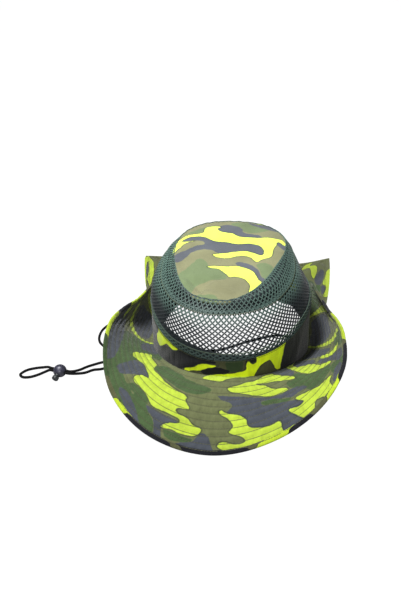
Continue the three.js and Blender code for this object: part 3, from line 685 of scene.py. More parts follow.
FLAP_YELLOW = [
    [(-1.02, 0.58), (-1.02, 0.97), (-0.985, 0.99), (-0.95, 0.93), (-0.9, 0.86), (-0.885, 0.74), (-0.9, 0.66),
     (-0.95, 0.58), (-0.975, 0.66), (-0.945, 0.76), (-0.95, 0.87), (-0.975, 0.88), (-0.985, 0.76),
     (-0.985, 0.64)],
    [(-0.96, 0.5), (-0.93, 0.57), (-0.915, 0.53), (-0.93, 0.47)],
    [(0.69, 0.89), (0.74, 0.97), (0.8, 0.98), (0.82, 0.94), (0.78, 0.89), (0.79, 0.87), (0.86, 0.865),
     (0.85, 0.8), (0.82, 0.74), (0.79, 0.76), (0.78, 0.84), (0.72, 0.86)],
    [(0.74, 0.68), (0.79, 0.7), (0.8, 0.62), (0.76, 0.52), (0.74, 0.56)],
    [(1.02, 0.88), (0.96, 0.84), (0.945, 0.76), (0.915, 0.7), (0.93, 0.68), (0.96, 0.67), (0.965, 0.62),
     (0.93, 0.56), (0.95, 0.54), (1.02, 0.56)],
]
FLAP_NAVY = [
    [(-0.985, 0.7), (-0.975, 0.86), (-0.955, 0.86), (-0.95, 0.76), (-0.965, 0.66)],
    [(0.9, 0.85), (0.94, 0.84), (0.93, 0.77), (0.9, 0.68), (0.84, 0.68), (0.82, 0.74), (0.86, 0.8)],
    [(0.9, 0.68), (0.96, 0.66), (0.96, 0.62), (0.92, 0.56), (0.9, 0.6)],
    [(0.76, 0.5), (0.8, 0.58), (0.86, 0.56), (0.94, 0.4), (0.93, 0.28), (0.84, 0.26), (0.78, 0.34)],
]
FLAP_GREEN = [[(0.84, 0.68), (0.9, 0.68), (0.9, 0.6), (0.86, 0.58), (0.82, 0.62)]]
FLAP_SIZE = (290.0, 235.0)


def flap_cloth(side, share):
    return np.stack([np.asarray(side) * FLAP_SIZE[0] / 2, np.asarray(share) * FLAP_SIZE[1]], -1)


def band_cloth(angle, height):
    return np.stack([np.asarray(angle) * 1.57, np.asarray(height, float)], -1)


def band_print(outlines):
    flat = [rounded(outline) for outline in outlines]
    return [band_cloth(at[:, 0] - turn, at[:, 1]) for at in flat for turn in (0, 180)]


def flap_print(outlines, seed, count, length, width):
    flat = [rounded(outline) for outline in outlines]
    seen = [flap_cloth(at[:, 0], at[:, 1]) for at in flat]
    return seen + drifting_patches(seed, count, (-96, 92), (10, 232), length, width)


TIP_PRINT = {
    "yellow": [rounded(outline) for outline in TIP_YELLOW],
    "navy": [rounded(outline) for outline in TIP_NAVY],
    "green": [rounded(outline) for outline in TIP_GREEN],
}
BAND_PRINT = {"yellow": band_print(BAND_YELLOW), "navy": band_print(BAND_NAVY), "green": band_print(BAND_GREEN)}
FLAP_PRINT = {
    "yellow": flap_print(FLAP_YELLOW, 3, 11, 88, 20),
    "navy": flap_print(FLAP_NAVY, 8, 12, 96, 26),
    "green": flap_print(FLAP_GREEN, 21, 12, 92, 30),
}
print("patches on the flap", {colour: len(shapes) for colour, shapes in FLAP_PRINT.items()})

# %% [markdown]
# Materials are built from a few shared node groups. Each is made once with named inputs and
# outputs, and put into every material with its own numbers. This small helper adds nodes and
# links them by name, so the groups below read like a recipe.

# %% Helpers for nodes
class Recipe:
    def __init__(self, tree):
        self.tree, self.column = tree, 0

    def add(self, kind, inputs=None, **settings):
        node = self.tree.nodes.new(kind)
        node.location = (self.column * 190, -(self.column % 4) * 170)
        self.column += 1
        for key, value in settings.items():
            setattr(node, key, value)
        self.fill(node, inputs or {})
        return node

    def fill(self, node, inputs):
        """Link or set inputs, each under its name or number."""
        for key, value in inputs.items():
            if isinstance(value, bpy.types.NodeSocket):
                self.tree.links.new(value, node.inputs[key])
            else:
                node.inputs[key].default_value = value

    def maths(self, operation, *values, clamp=False):
        return self.add("ShaderNodeMath", dict(enumerate(values)), operation=operation, use_clamp=clamp).outputs[0]

    def ramp(self, value, low, high, to_low=0.0, to_high=1.0, kind="SMOOTHSTEP"):
        inputs = {"Value": value, "From Min": low, "From Max": high, "To Min": to_low, "To Max": to_high}
        return self.add("ShaderNodeMapRange", inputs, interpolation_type=kind).outputs["Result"]

    def mix(self, factor, a, b, blend="MIX"):
        node = self.add("ShaderNodeMix", data_type="RGBA", blend_type=blend)
        self.fill(node, {0: factor, 6: a, 7: b})
        return node.outputs[2]

    def value(self, name):
        return self.add("ShaderNodeAttribute", attribute_name=name).outputs["Fac"]

    def vector(self, name):
        return self.add("ShaderNodeAttribute", attribute_name=name).outputs["Vector"]

    def stretch(self, vector, scale):
        return self.add("ShaderNodeMapping", {"Vector": vector, "Scale": scale}).outputs[0]

    def noise(self, vector, scale, detail=3.0, rough=0.55):
        inputs = {"Vector": vector, "Scale": scale, "Detail": detail, "Roughness": rough}
        return self.add("ShaderNodeTexNoise", inputs).outputs["Fac"]


def new_group(name, inputs, outputs):
    """A node group with named sockets: (name, kind, default) rows in, (name, kind) rows out."""
    tree = bpy.data.node_groups.new(name, "ShaderNodeTree")
    for label, kind, default in inputs:
        socket = tree.interface.new_socket(label, in_out="INPUT", socket_type="NodeSocket" + kind)
        if default is not None:
            socket.default_value = default
    for label, kind in outputs:
        tree.interface.new_socket(label, in_out="OUTPUT", socket_type="NodeSocket" + kind)
    recipe = Recipe(tree)
    return tree, recipe, recipe.add("NodeGroupInput").outputs, recipe.add("NodeGroupOutput").inputs


def new_material(name):
    material = bpy.data.materials.new(name)
    material.use_nodes = True
    material.node_tree.nodes.clear()
    recipe = Recipe(material.node_tree)
    shader = recipe.add("ShaderNodeBsdfPrincipled")
    output = recipe.add("ShaderNodeOutputMaterial")
    material.node_tree.links.new(shader.outputs[0], output.inputs["Surface"])
    return material, recipe, shader


def linear(red, green, blue):
    """A colour seen on a screen, 0 to 255, as the light it stands for."""
    return (*[((v / 255 + 0.055) / 1.055) ** 2.4 if v > 10 else v / 255 / 12.92 for v in (red, green, blue)], 1.0)


# %% [markdown]
# The camouflage group takes the three distances and lays the colours over each other, yellow
# last. A little noise makes the edges of the patches waver by a fraction of a millimetre, as
# screen-printed ink does in a coarse weave, and a slow noise fades the dye here and there.

# %% Camouflage group
def camouflage_group():
    tree, r, given, out = new_group(
        "Camouflage print",
        [("Cloth", "Vector", None), ("Green distance", "Float", 0.0), ("Navy distance", "Float", 0.0),
         ("Yellow distance", "Float", 0.0), ("Olive", "Color", (0, 0, 0, 1)), ("Green", "Color", (0, 0, 0, 1)),
         ("Navy", "Color", (0, 0, 0, 1)), ("Yellow", "Color", (0, 0, 0, 1)), ("Edge", "Float", 0.35),
         ("Waver", "Float", 0.7), ("Fading", "Float", 0.12)],
        [("Color", "Color"), ("Ink", "Float")])
    wobble = r.maths("SUBTRACT", r.noise(given["Cloth"], 160.0, 4.0), 0.5)
    shake = r.maths("MULTIPLY", wobble, given["Waver"])
    shake = r.maths("MULTIPLY", shake, 4.0)
    edge = r.maths("MULTIPLY", given["Edge"], -1.0)
    masks = {}
    for label in ("Green", "Navy", "Yellow"):
        distance = r.maths("ADD", given[label + " distance"], shake)
        masks[label] = r.ramp(distance, edge, given["Edge"])
    colour = given["Olive"]
    for label in ("Green", "Navy", "Yellow"):
        colour = r.mix(masks[label], colour, given[label])
    rim = r.ramp(r.maths("ABSOLUTE", r.maths("ADD", given["Yellow distance"], 0.55)), 0.0, 0.9, 0.55, 0.0)
    colour = r.mix(rim, colour, (0.02, 0.03, 0.015, 1.0))
    slow = r.noise(given["Cloth"], 28.0, 5.0, 0.6)
    fade = r.maths("MULTIPLY", r.maths("SUBTRACT", slow, 0.5), given["Fading"])
    bright = r.maths("ADD", r.maths("MULTIPLY", fade, 2.0), 1.0)
    grey = r.add("ShaderNodeCombineColor", {0: bright, 1: bright, 2: bright}).outputs[0]
    tree.links.new(r.mix(1.0, colour, grey, "MULTIPLY"), out["Color"])
    tree.links.new(masks["Yellow"], out["Ink"])
    return tree


camouflage = camouflage_group()
print("group", camouflage.name)

# %% [markdown]
# The weave group gives the cloth its threads: two sets of waves at right angles, a thread
# every 0.55 mm, with slubs that run along single threads, and a fine lint. It puts out a
# height for the bump and a colour factor, since the gaps between threads are darker.

# %% Weave group
def weave_group():
    tree, r, given, out = new_group(
        "Plain weave",
        [("Cloth", "Vector", None), ("Threads", "Float", 1800.0), ("Slubs", "Float", 0.5)],
        [("Height", "Float"), ("Shade", "Float")])
    place = given["Cloth"]
    parts = r.add("ShaderNodeSeparateXYZ", {0: place}).outputs
    rows = []
    for k in (0, 1):
        turn = r.maths("MULTIPLY", r.maths("MULTIPLY", parts[k], given["Threads"]), math.pi)
        rows.append(r.maths("ABSOLUTE", r.maths("SINE", turn)))
    threads = r.maths("MULTIPLY", rows[0], rows[1])
    warp = r.noise(r.stretch(place, (90.0, 1500.0, 1.0)), 1.0, 2.0)
    weft = r.noise(r.stretch(place, (1500.0, 90.0, 1.0)), 1.0, 2.0)
    slub = r.maths("SUBTRACT", r.maths("ADD", warp, weft), 1.0)
    slub = r.maths("MULTIPLY", slub, given["Slubs"])
    lint = r.maths("MULTIPLY", r.noise(place, 2600.0, 2.0), 0.25)
    height = r.maths("ADD", r.maths("ADD", threads, slub), lint)
    shade = r.maths("ADD", r.ramp(threads, 0.0, 0.8, 0.84, 1.04), r.maths("MULTIPLY", slub, 0.35))
    tree.links.new(height, out["Height"])
    tree.links.new(shade, out["Shade"])
    return tree


weave = weave_group()

# %% [markdown]
# Rows of stitches pull cloth in, so fine puckers run across them from row to row. The pucker
# group is a noise that is stretched along one direction of the cloth. On the brim it reads a
# vector that runs round the hat, so that the puckers point outwards everywhere.

# %% Pucker group
def pucker_group():
    tree, r, given, out = new_group(
        "Puckers",
        [("Way", "Vector", None), ("Scale", "Vector", (1.0, 1.0, 1.0))],
        [("Height", "Float")])
    way = r.add("ShaderNodeVectorMath", {0: given["Way"], 1: given["Scale"]}, operation="MULTIPLY").outputs[0]
    fine = r.noise(way, 1.0, 3.0, 0.5)
    broad = r.noise(way, 0.37, 2.0, 0.5)
    tree.links.new(r.maths("ADD", fine, r.maths("MULTIPLY", broad, 0.8)), out["Height"])
    return tree


puckers = pucker_group()

# %% [markdown]
# Camouflage cotton: the same recipe serves the brim, the band, the binding, the tip and the
# flap, each with its own strength of puckers and its own shade of ink. The tip is a thinner,
# paler cloth than the brim. Cotton is dull with a soft sheen where its fuzz catches light.
# The colour is painted darker in the hollows of the puckers and lighter on their crests, and on
# the brim a dark line is painted along each row of stitches: painted shade and painted highlight.
# The band's and the binding's inks are darker copies of the print's inks, painted shade, and
# the band's yellow is brighter, painted light.

# %% Camouflage cotton
def inks(olive, green, navy, yellow):
    return {"Olive": linear(*olive), "Green": linear(*green), "Navy": linear(*navy), "Yellow": linear(*yellow)}


BRIM_INKS = inks((95, 100, 69), (67, 85, 54), (70, 74, 81), (157, 175, 60))
TIP_INKS = inks((124, 124, 96), (107, 120, 89), (88, 92, 98), (206, 223, 98))
# A darker copy of the print's inks, painted shade; the binding wears it.
SHADED_INKS = inks((80, 82, 56), (56, 74, 44), (24, 25, 31), (158, 176, 46))
# The band's inks are painted darker as shade, with the yellow painted brighter as light.
BAND_LIT_AND_SHADED_INKS = inks((72, 74, 50), (50, 66, 40), (18, 19, 24), (206, 224, 28))


def camouflage_cotton(name, colours, pucker, scale, rough=0.86, seams=0.0):
    material, r, shader = new_material(name)
    place = r.vector("cloth")
    inputs = {"Cloth": place, **colours}
    for label in ("Green", "Navy", "Yellow"):
        inputs[label + " distance"] = r.value(label.lower())
    cloth = r.add("ShaderNodeGroup", inputs, node_tree=camouflage)
    threads = r.add("ShaderNodeGroup", {"Cloth": place}, node_tree=weave)
    folds = r.add("ShaderNodeGroup", {"Way": r.vector("way"), "Scale": scale}, node_tree=puckers)
    shade = r.add("ShaderNodeCombineColor", {k: threads.outputs["Shade"] for k in (0, 1, 2)}).outputs[0]
    colour = r.mix(0.8, cloth.outputs["Color"], shade, "MULTIPLY")
    # Painted shade and highlight: darker in the pucker hollows, lighter on their crests; seams sets a dark line
    # painted along each stitch row.
    painted_shade = r.ramp(folds.outputs["Height"], 0.55, 1.15, 0.82, 1.1)
    row = r.maths("ABSOLUTE", r.maths("SUBTRACT", r.maths("FRACT", r.maths("ADD", r.value("rows"), 0.5)), 0.5))
    painted_shade = r.maths("MULTIPLY", painted_shade, r.ramp(row, 0.02, 0.11, 1.0 - 0.48 * seams, 1.0))
    dim = r.add("ShaderNodeCombineColor", {k: painted_shade for k in (0, 1, 2)}).outputs[0]
    colour = r.mix(0.7, colour, dim, "MULTIPLY")
    dull = r.ramp(cloth.outputs["Ink"], 0.0, 1.0, rough, rough - 0.08)
    big = r.add("ShaderNodeBump", {"Height": folds.outputs["Height"], "Strength": pucker, "Distance": 0.0016})
    small = r.add("ShaderNodeBump", {"Height": threads.outputs["Height"], "Strength": 0.35, "Distance": 0.00022,
                                     "Normal": big.outputs[0]})
    r.fill(shader, {"Base Color": colour, "Roughness": dull, "Normal": small.outputs[0], "Sheen Weight": 0.18,
                    "Sheen Roughness": 0.5, "Specular IOR Level": 0.22})
    return material


# On the brim, seams=1.0 paints a dark line of shade along each row of stitches.
brim_cotton = camouflage_cotton("brim_cotton", BRIM_INKS, 0.7, (42.0, 42.0, 0.16), seams=1.0)
binding_cotton = camouflage_cotton("binding_cotton", SHADED_INKS, 0.45, (60.0, 60.0, 0.3))
band_cotton = camouflage_cotton("band_cotton", BAND_LIT_AND_SHADED_INKS, 0.35, (26.0, 26.0, 0.06))
tip_cotton = camouflage_cotton("tip_cotton", TIP_INKS, 0.35, (0.05, 0.05, 0.05))
flap_cotton = camouflage_cotton("flap_cotton", BRIM_INKS, 0.5, (0.07, 0.05, 0.05))
print("cottons ready")

# %% [markdown]
# Sewing thread, in a dark olive brown. Every stitch is a real little stitch, modelled once
# and copied along the rows, each with a slight lean, as lock stitches have.

# %% Sewing thread
def thread_material():
    material, r, shader = new_material("sewing_thread")
    place = r.add("ShaderNodeTexCoord").outputs["Object"]
    tone = r.noise(place, 220.0, 3.0)
    colour = r.mix(tone, linear(58, 62, 40), linear(92, 92, 62))
    twist = r.noise(r.stretch(place, (4000.0, 4000.0, 1500.0)), 1.0, 1.0)
    ply = r.add("ShaderNodeBump", {"Height": twist, "Strength": 0.5, "Distance": 0.0001})
    r.fill(shader, {"Base Color": colour, "Normal": ply.outputs[0], "Roughness": 0.6})
    return material


thread = thread_material()


def one_stitch():
    """A stitch one unit long and one unit thick: a stretched ball with few faces."""
    deselect()
    bpy.ops.mesh.primitive_cylinder_add(vertices=5, radius=0.5, depth=0.5, end_fill_type="NGON")
    stitch = bpy.context.object
    bpy.ops.object.mode_set(mode="EDIT")
    bpy.ops.mesh.select_mode(type="FACE")
    bpy.ops.mesh.select_all(action="DESELECT")
    bm = bmesh.from_edit_mesh(stitch.data)
    for face in bm.faces:
        face.select = abs(face.normal.z) > 0.5
    bmesh.update_edit_mesh(stitch.data)
    bpy.ops.mesh.extrude_region_shrink_fatten(TRANSFORM_OT_shrink_fatten={"value": 0.25})
    bpy.ops.transform.resize(value=(0.45, 0.45, 1.0))
    bpy.ops.object.mode_set(mode="OBJECT")
    co = corners(stitch)
    faces = [tuple(p.vertices) for p in stitch.data.polygons]
    bpy.data.objects.remove(stitch)
    return co, faces


STITCH, STITCH_FACES = one_stitch()


def sew(name, rows, pitch=2.6, length=2.4, thick=0.42, sink=0.1):
    """rows: lists of (points, outward normals) in hat millimetres. One mesh holds them all."""
    all_points, all_faces, count = [], [], 0
    for points, normals in rows:
        reach = np.concatenate([[0], np.cumsum(np.linalg.norm(np.diff(points, axis=0), axis=1))])
        number = int(reach[-1] / pitch)
        at = (np.arange(number) + 0.5) * reach[-1] / number

        def pick(values, where):
            return np.stack([np.interp(where, reach, values[:, k]) for k in range(3)], -1)

        middle, up = pick(points, at), pick(normals, at)
        along = pick(points, np.minimum(at + 0.5, reach[-1])) - pick(points, np.maximum(at - 0.5, 0))
        along /= np.linalg.norm(along, axis=1, keepdims=True)
        up /= np.linalg.norm(up, axis=1, keepdims=True)
        beside = np.cross(up, along)
        along = along + beside * 0.06
        middle = middle - up * sink
        size = np.array([thick, thick * 0.8, length])
        local = STITCH * size
        placed = (middle[:, None] + local[None, :, 0:1] * beside[:, None] + local[None, :, 1:2] * up[:, None]
                  + local[None, :, 2:3] * along[:, None])
        all_points.append(placed.reshape(-1, 3))
        for k in range(number):
            base = (count + k) * len(STITCH)
            all_faces.extend(tuple(base + v for v in face) for face in STITCH_FACES)
        count += number
    mesh = bpy.data.meshes.new(name)
    mesh.from_pydata(to_scene(np.vstack(all_points)).tolist(), [], all_faces)
    piece = bpy.data.objects.new(name, mesh)
    bpy.context.collection.objects.link(piece)
    tidy_normals(piece)
    smooth(piece, 60)
    print(name, count, "stitches")
    return piece


# %% [markdown]
# The brim. On the real hat it is two layers of cotton over a stiff core, held together by ten
# rings of stitching, so the cloth swells between the rings and is pinched at each of them. It
# could be a smooth shape with a bumpy material, but the ridges catch the light along their
# whole length, so they are modelled: a ring sheet has four rows of corners for each ridge, the
# shape function lays them, and Solidify gives the wall its thickness, thinner at the stitches.

# %% Model the brim
STITCH_ROWS = 10
ROWS_BETWEEN = 4
BRIM_ROWS = (STITCH_ROWS + 1) * ROWS_BETWEEN
ridge_rng = np.random.default_rng(5)
RIDGE_WAVES = ridge_rng.uniform(0, 2 * np.pi, (STITCH_ROWS + 1, 3))
RIDGE_TURNS = ridge_rng.integers(34, 74, (STITCH_ROWS + 1, 3))


def brim_ripple(angle, row):
    """How far the cloth of a ridge swells and puckers, 0 at the stitches."""
    ridge = np.clip(row // ROWS_BETWEEN, 0, STITCH_ROWS)
    swell = np.sin(np.pi * (row % ROWS_BETWEEN) / ROWS_BETWEEN)
    radians = np.radians(angle)[:, None]
    ripple = np.sin(radians * RIDGE_TURNS[ridge] + RIDGE_WAVES[ridge]).sum(1)
    return swell, swell * ripple * 0.13


def brim_swell(angle, share):
    """A slow wave of the whole cloth, which its stitches follow."""
    return 0.5 * np.sin(np.radians(angle * 7 + 40)) * np.sin(np.pi * share) * np.cos(3 * share)


def model_brim():
    brim = ring_sheet("brim_cloth", 360, BRIM_ROWS)
    angle, row = ring_place(brim)
    share = row / BRIM_ROWS
    swell, ripple = brim_ripple(angle, row)
    lay(brim, brim_point(angle, share, ripple + brim_swell(angle, share)))
    from_seam = share * brim_width(angle)
    print_on(brim, cut_ring(angle, from_seam), BRIM_PRINT)
    note(brim, way=way_round(angle, from_seam), rows=share * (STITCH_ROWS + 1))
    puff = brim.vertex_groups.new(name="puff")
    for k, weight in enumerate(swell.round(2)):
        puff.add([k], float(weight), "REPLACE")
    thicken(brim, 0.0023, vertex_group="puff", thickness_vertex_group=0.42)
    finish_piece(brim, "hat", "camo_cloth", brim_cotton, "brim")


model_brim()
SEWN = np.linspace(0, 360, 721)


def brim_sewn(share, side, lift):
    """A row of stitches on one face of the brim, side 1 above and -1 below."""
    normal = side * (brim_point(SEWN, share, 1.0) - brim_point(SEWN, share, 0.0))
    return brim_point(SEWN, share, lift), normal


def brim_stitches():
    shares = [k / (STITCH_ROWS + 1) for k in range(1, STITCH_ROWS + 1)]
    return [brim_sewn(share, side, brim_swell(SEWN, share) + side * 0.62) for share in shares for side in (1, -1)]


brim_sewing = sew("brim_stitches", brim_stitches())
finish_piece(brim_sewing, "hat", "camo_cloth", thread)

# %% [markdown]
# The binding is a strip of the same cotton, folded over the edge and sewn through. A tube
# would look like piping, so its section is an open hook: down one face of the brim, round the
# edge, and back along the other face. Its colours change along its length, where the strip was
# cut across several patches, so they follow a table of stretches.

# %% Model the binding
BINDING_STRETCHES = [
    (172, 188, "yellow"), (188, 200, "navy"), (200, 216, "yellow"), (216, 231, "green"),
    (238, 243, "yellow"), (243, 259, "navy"), (262, 281, "navy"), (292, 300, "navy"),
    (282, 291, "yellow"), (304.5, 311, "yellow"), (311, 326, "navy"), (327, 352, "yellow"), (354, 368, "navy"),
    (20, 45, "green"), (52, 66, "yellow"), (66, 84, "navy"), (96, 118, "green"), (118, 131, "yellow"),
    (131, 150, "navy"),
]
BINDING_WIDTH = 1.7


def binding_section(angle, turn):
    """turn runs from 0 on the upper face, round the edge, to 1 on the lower face."""
    leg, radius = 0.36, 1.3
    width = brim_width(angle)
    arc = np.clip((turn - leg) / (1 - 2 * leg), 0, 1) * np.pi
    along = np.where(turn < leg, (1 - turn / leg), np.where(turn > 1 - leg, (turn - 1 + leg) / leg, 0.0))
    share = 1 - along * BINDING_WIDTH / width
    side = np.cos(arc)
    tuck = np.where(along > 0.8, (along - 0.8) * 2.0, 0.0)
    lift = side * (radius - tuck)
    edge = brim_point(angle, 1.0, 0.0)
    onward = edge - brim_point(angle, 0.99, 0.0)
    onward /= np.linalg.norm(onward, axis=-1, keepdims=True)
    reach = np.where(along > 0, 0.0, 1.0 + np.sin(arc) * 1.8)
    ripple = 0.12 * np.sin(np.radians(angle) * 97) + 0.1 * np.sin(np.radians(angle) * 61 + 1.0)
    return brim_point(angle, share, lift + ripple * side) + onward * reach[:, None]


def model_binding():
    rows = 18
    binding = ring_sheet("binding_cloth", 360, rows)
    angle, row = ring_place(binding)
    lay(binding, binding_section(angle, row / rows))
    far = {colour: np.full(len(angle), -9.0) for colour in ("yellow", "navy", "green")}
    for start, end, colour in BINDING_STRETCHES:
        lean = 0.35 if colour == "navy" else -0.35
        off = angle_between(angle, (start + end) / 2 + lean * (row - rows / 2))
        far[colour] = np.maximum(far[colour], ((end - start) / 2 - np.abs(off)) * 2.6)
    note(binding, **far)
    radians, across = np.radians(angle), row * 0.8
    flat = np.column_stack([SEAM_RADIUS * 2 * np.cos(radians), SEAM_RADIUS * 2 * np.sin(radians), across])
    note(binding, cloth=flat / 1000.0, way=way_round(angle, across))
    thicken(binding, 0.0005, offset=-1.0)
    finish_piece(binding, "hat", "camo_cloth", binding_cotton, "brim_binding")
    print("lowest point of the binding, mm", round(corners(binding)[:, 2].min() * 1000, 2))


model_binding()


def binding_stitches():
    return [brim_sewn(1 - 1.0 / brim_width(SEWN), side, side * 1.4) for side in (1, -1)]


binding_sewing = sew("binding_stitches", binding_stitches(), sink=0.05)
finish_piece(binding_sewing, "hat", "camo_cloth", thread)

# %% [markdown]
# The band is the soft upright strip between the brim and the net. It has no core, so it sinks
# and swells between its two seams. Its foot is tucked in below the brim's first row of
# stitches.

# %% Model the band
# Each fold: at, share, lean, spread, depth.
BAND_FOLDS = [
    (291, 0.55, 16, 3.2, 1.8), (303, 0.6, -10, 3.0, -1.4), (250, 0.5, 22, 3.5, 1.4),
    (232, 0.6, 14, 3.0, -1.3), (272, 0.4, -18, 4.0, 1.3), (322, 0.5, 12, 3.5, 1.6),
    (205, 0.5, -12, 4.0, 1.5), (100, 0.5, 15, 5.0, 1.5), (60, 0.5, -12, 4.0, -1.4),
    (140, 0.5, 14, 4.0, 1.3), (10, 0.5, 10, 4.0, 1.2), (180, 0.5, -10, 4.0, 1.2),
]


def model_band():
    rows = 14
    band = ring_sheet("band_cloth", 300, rows)
    angle, row = ring_place(band)
    share = row / rows
    push = np.zeros_like(share)
    for at, middle, lean, spread, depth in BAND_FOLDS:
        off = angle_between(angle, at + lean * (share - middle))
        push += depth * bump(off / (2 * spread)) * np.sin(np.pi * share)
    push += 0.5 * np.sin(np.pi * share) + 1.7 * bump((share - 0.1) / 0.22)
    points = band_point(angle, share, push * 0.55)
    lay(band, points)
    print_on(band, band_cloth(angle, points[:, 2]), BAND_PRINT)
    note(band, way=way_round(angle, points[:, 2]))
    thicken(band, 0.0011)
    finish_piece(band, "hat", "camo_cloth", band_cotton, "crown_band")


model_band()

# %% [markdown]
# The tip is the printed disc on top. It swells a little at its rim, sags in the middle, and
# has a pucker at the front left where the cloth was pushed in. At the seam the cloth turns
# down over the net, so the ring sheet gets three more rows that roll over the rim.

# %% Model the tip
TIP_SWELL, TIP_SAG = 4.4, 3.2
# A pucker: x, y, radius, depth. An inset: at, spread, depth. A crease: from, to, spread, height.
TIP_PUCKERS = [(-26, -47, 17, 5.5)]
TIP_INSETS = [(322, 27, 0.17), (4, 20, 0.05), (212, 22, 0.07)]
TIP_CREASES = [(-32, -44, -49, -30, 4, 1.7), (-27, -50, -14, -66, 4, 1.8), (-36, -38, -50, -16, 4, 1.2),
               (-20, -40, -6, -34, 5, 1.3), (-20, -50, 4, -60, 5, 1.2),
               (10, -50, 30, -30, 8, 0.8), (-45, 10, -20, 20, 9, 0.7), (20, 10, 45, 0, 9, 0.7),
               (-10, 40, 20, 50, 9, 0.7)]


def tip_reach(angle):
    """The share of the rim that the printed cloth reaches; the net covers the rest."""
    return 1 - sum(depth * bump(angle_between(angle, at) / (2 * spread)) for at, spread, depth in TIP_INSETS)


def tip_point(angle, share, lift=0.0):
    share = share * (1 - GAP / RIM["half_width"])
    p = crown_outline(RIM, angle, share)
    z = RIM["height"] + RIM["tilt"] * share * np.sin(np.radians(angle))
    z = z + TIP_SWELL * (1 - share**6) - TIP_SAG * bump(share)
    for x, y, radius, depth in TIP_PUCKERS:
        z = z - depth * bump(np.hypot(p[:, 0] - x, p[:, 1] - y) / radius) * (1 - share**8)
    for *line, spread, height in TIP_CREASES:
        z = z - height * bump(off_line(p, line) / spread) * (1 - share**8)
    gather = 0.2 * np.sin(np.radians(angle) * 38) + 0.15 * np.sin(np.radians(angle) * 53 + 2.0)
    z = z + gather * bump((share - 0.97) / 0.14)
    return np.column_stack([p, z + lift + CROWN_CLOTH / 2 + 2 * GAP])


def model_tip():
    rows, roll = 36, 4
    tip = ring_sheet("tip_cloth", 240, rows + roll)
    angle, row = ring_place(tip)
    share = np.minimum(row / rows, 1.0) * tip_reach(angle)
    points = tip_point(angle, share)
    outward = oval_outward(RIM, angle)
    down = np.maximum(row - rows, 0)
    out_by = np.array([0.0, 0.75, 1.15, 1.2, 0.7])[down]
    drop = np.array([0.0, 0.35, 1.15, 2.2, 3.1])[down]
    points[:, :2] += outward * out_by[:, None]
    points[:, 2] -= drop
    lay(tip, points)
    flat = points[:, :2] + outward * drop[:, None]
    print_on(tip, flat, TIP_PRINT)
    note(tip, way=np.column_stack([flat, points[:, 2]]))
    thicken(tip, 0.0008, offset=-1.0, merge=0.00001)
    finish_piece(tip, "hat", "camo_cloth", tip_cotton, "crown_tip")


model_tip()

# %% [markdown]
# The net is a knitted mesh with diamond holes. It could be a see-through image on a plain wall,
# but from close by the strands have thickness and shade each other, so they are modelled. A
# grid is poked, which puts a cross in each of its cells, and the old edges are dissolved, which
# leaves diamonds. Each diamond is inset, its corners are cut and its middle is deleted, and
# what remains are the strands. The sheet is then laid on the crown and Solidify gives the
# strands their body.

# %% Model the net
def choose_faces(piece, numbers):
    bm = bmesh.from_edit_mesh(piece.data)
    bm.faces.ensure_lookup_table()
    for face in bm.faces:
        face.select = False
    for number in numbers:
        bm.faces[number].select = True
    bmesh.update_edit_mesh(piece.data)


def is_diamond(face):
    """The inner face of a whole cell has four corners at the same distance from its middle."""
    middle = face.calc_center_median()
    reach = [(v.co - middle).length for v in face.verts]
    return len(reach) == 4 and max(reach) - min(reach) < 0.02


def diamond_net(name, columns, rows, strand, corner):
    """A net sheet in grid units: x from 0 to columns, y from 0 to rows."""
    deselect()
    bpy.ops.mesh.primitive_grid_add(x_subdivisions=columns, y_subdivisions=rows, size=1.0)
    net = bpy.context.object
    net.name = net.data.name = name
    co = corners(net)
    net.data.vertices.foreach_set("co", ((co + [0.5, 0.5, 0]) * [columns, rows, 1]).ravel())
    bpy.ops.object.mode_set(mode="EDIT")
    bpy.ops.mesh.select_mode(type="FACE")
    bpy.ops.mesh.select_all(action="SELECT")
    bpy.ops.mesh.poke()
    bpy.ops.mesh.select_mode(type="EDGE")
    bpy.ops.mesh.select_all(action="DESELECT")
    bm = bmesh.from_edit_mesh(net.data)
    for edge in bm.edges:
        a, b = (v.co for v in edge.verts)
        straight = min(abs(a.x - b.x), abs(a.y - b.y)) < 0.01
        edge.select = straight and len(edge.link_faces) == 2
    bmesh.update_edit_mesh(net.data)
    bpy.ops.mesh.dissolve_edges(use_verts=False)
    bpy.ops.mesh.select_mode(type="FACE")
    bpy.ops.mesh.select_all(action="SELECT")
    bpy.ops.mesh.inset(thickness=strand, use_boundary=False, use_even_offset=True, use_individual=True)
    bm = bmesh.from_edit_mesh(net.data)
    whole = [face.index for face in bm.faces if face.select and len(face.verts) == 4]
    halves = [face.index for face in bm.faces if face.select and len(face.verts) == 3]
    choose_faces(net, halves)
    bpy.ops.mesh.delete(type="FACE")
    bm = bmesh.from_edit_mesh(net.data)
    choose_faces(net, [face.index for face in bm.faces if is_diamond(face)])
    bpy.ops.mesh.bevel(offset=corner, segments=1, affect="VERTICES")
    bpy.ops.mesh.delete(type="FACE")
    bpy.ops.object.mode_set(mode="OBJECT")
    print(name, len(whole), "whole holes and", len(halves), "half holes at its edges")
    return net


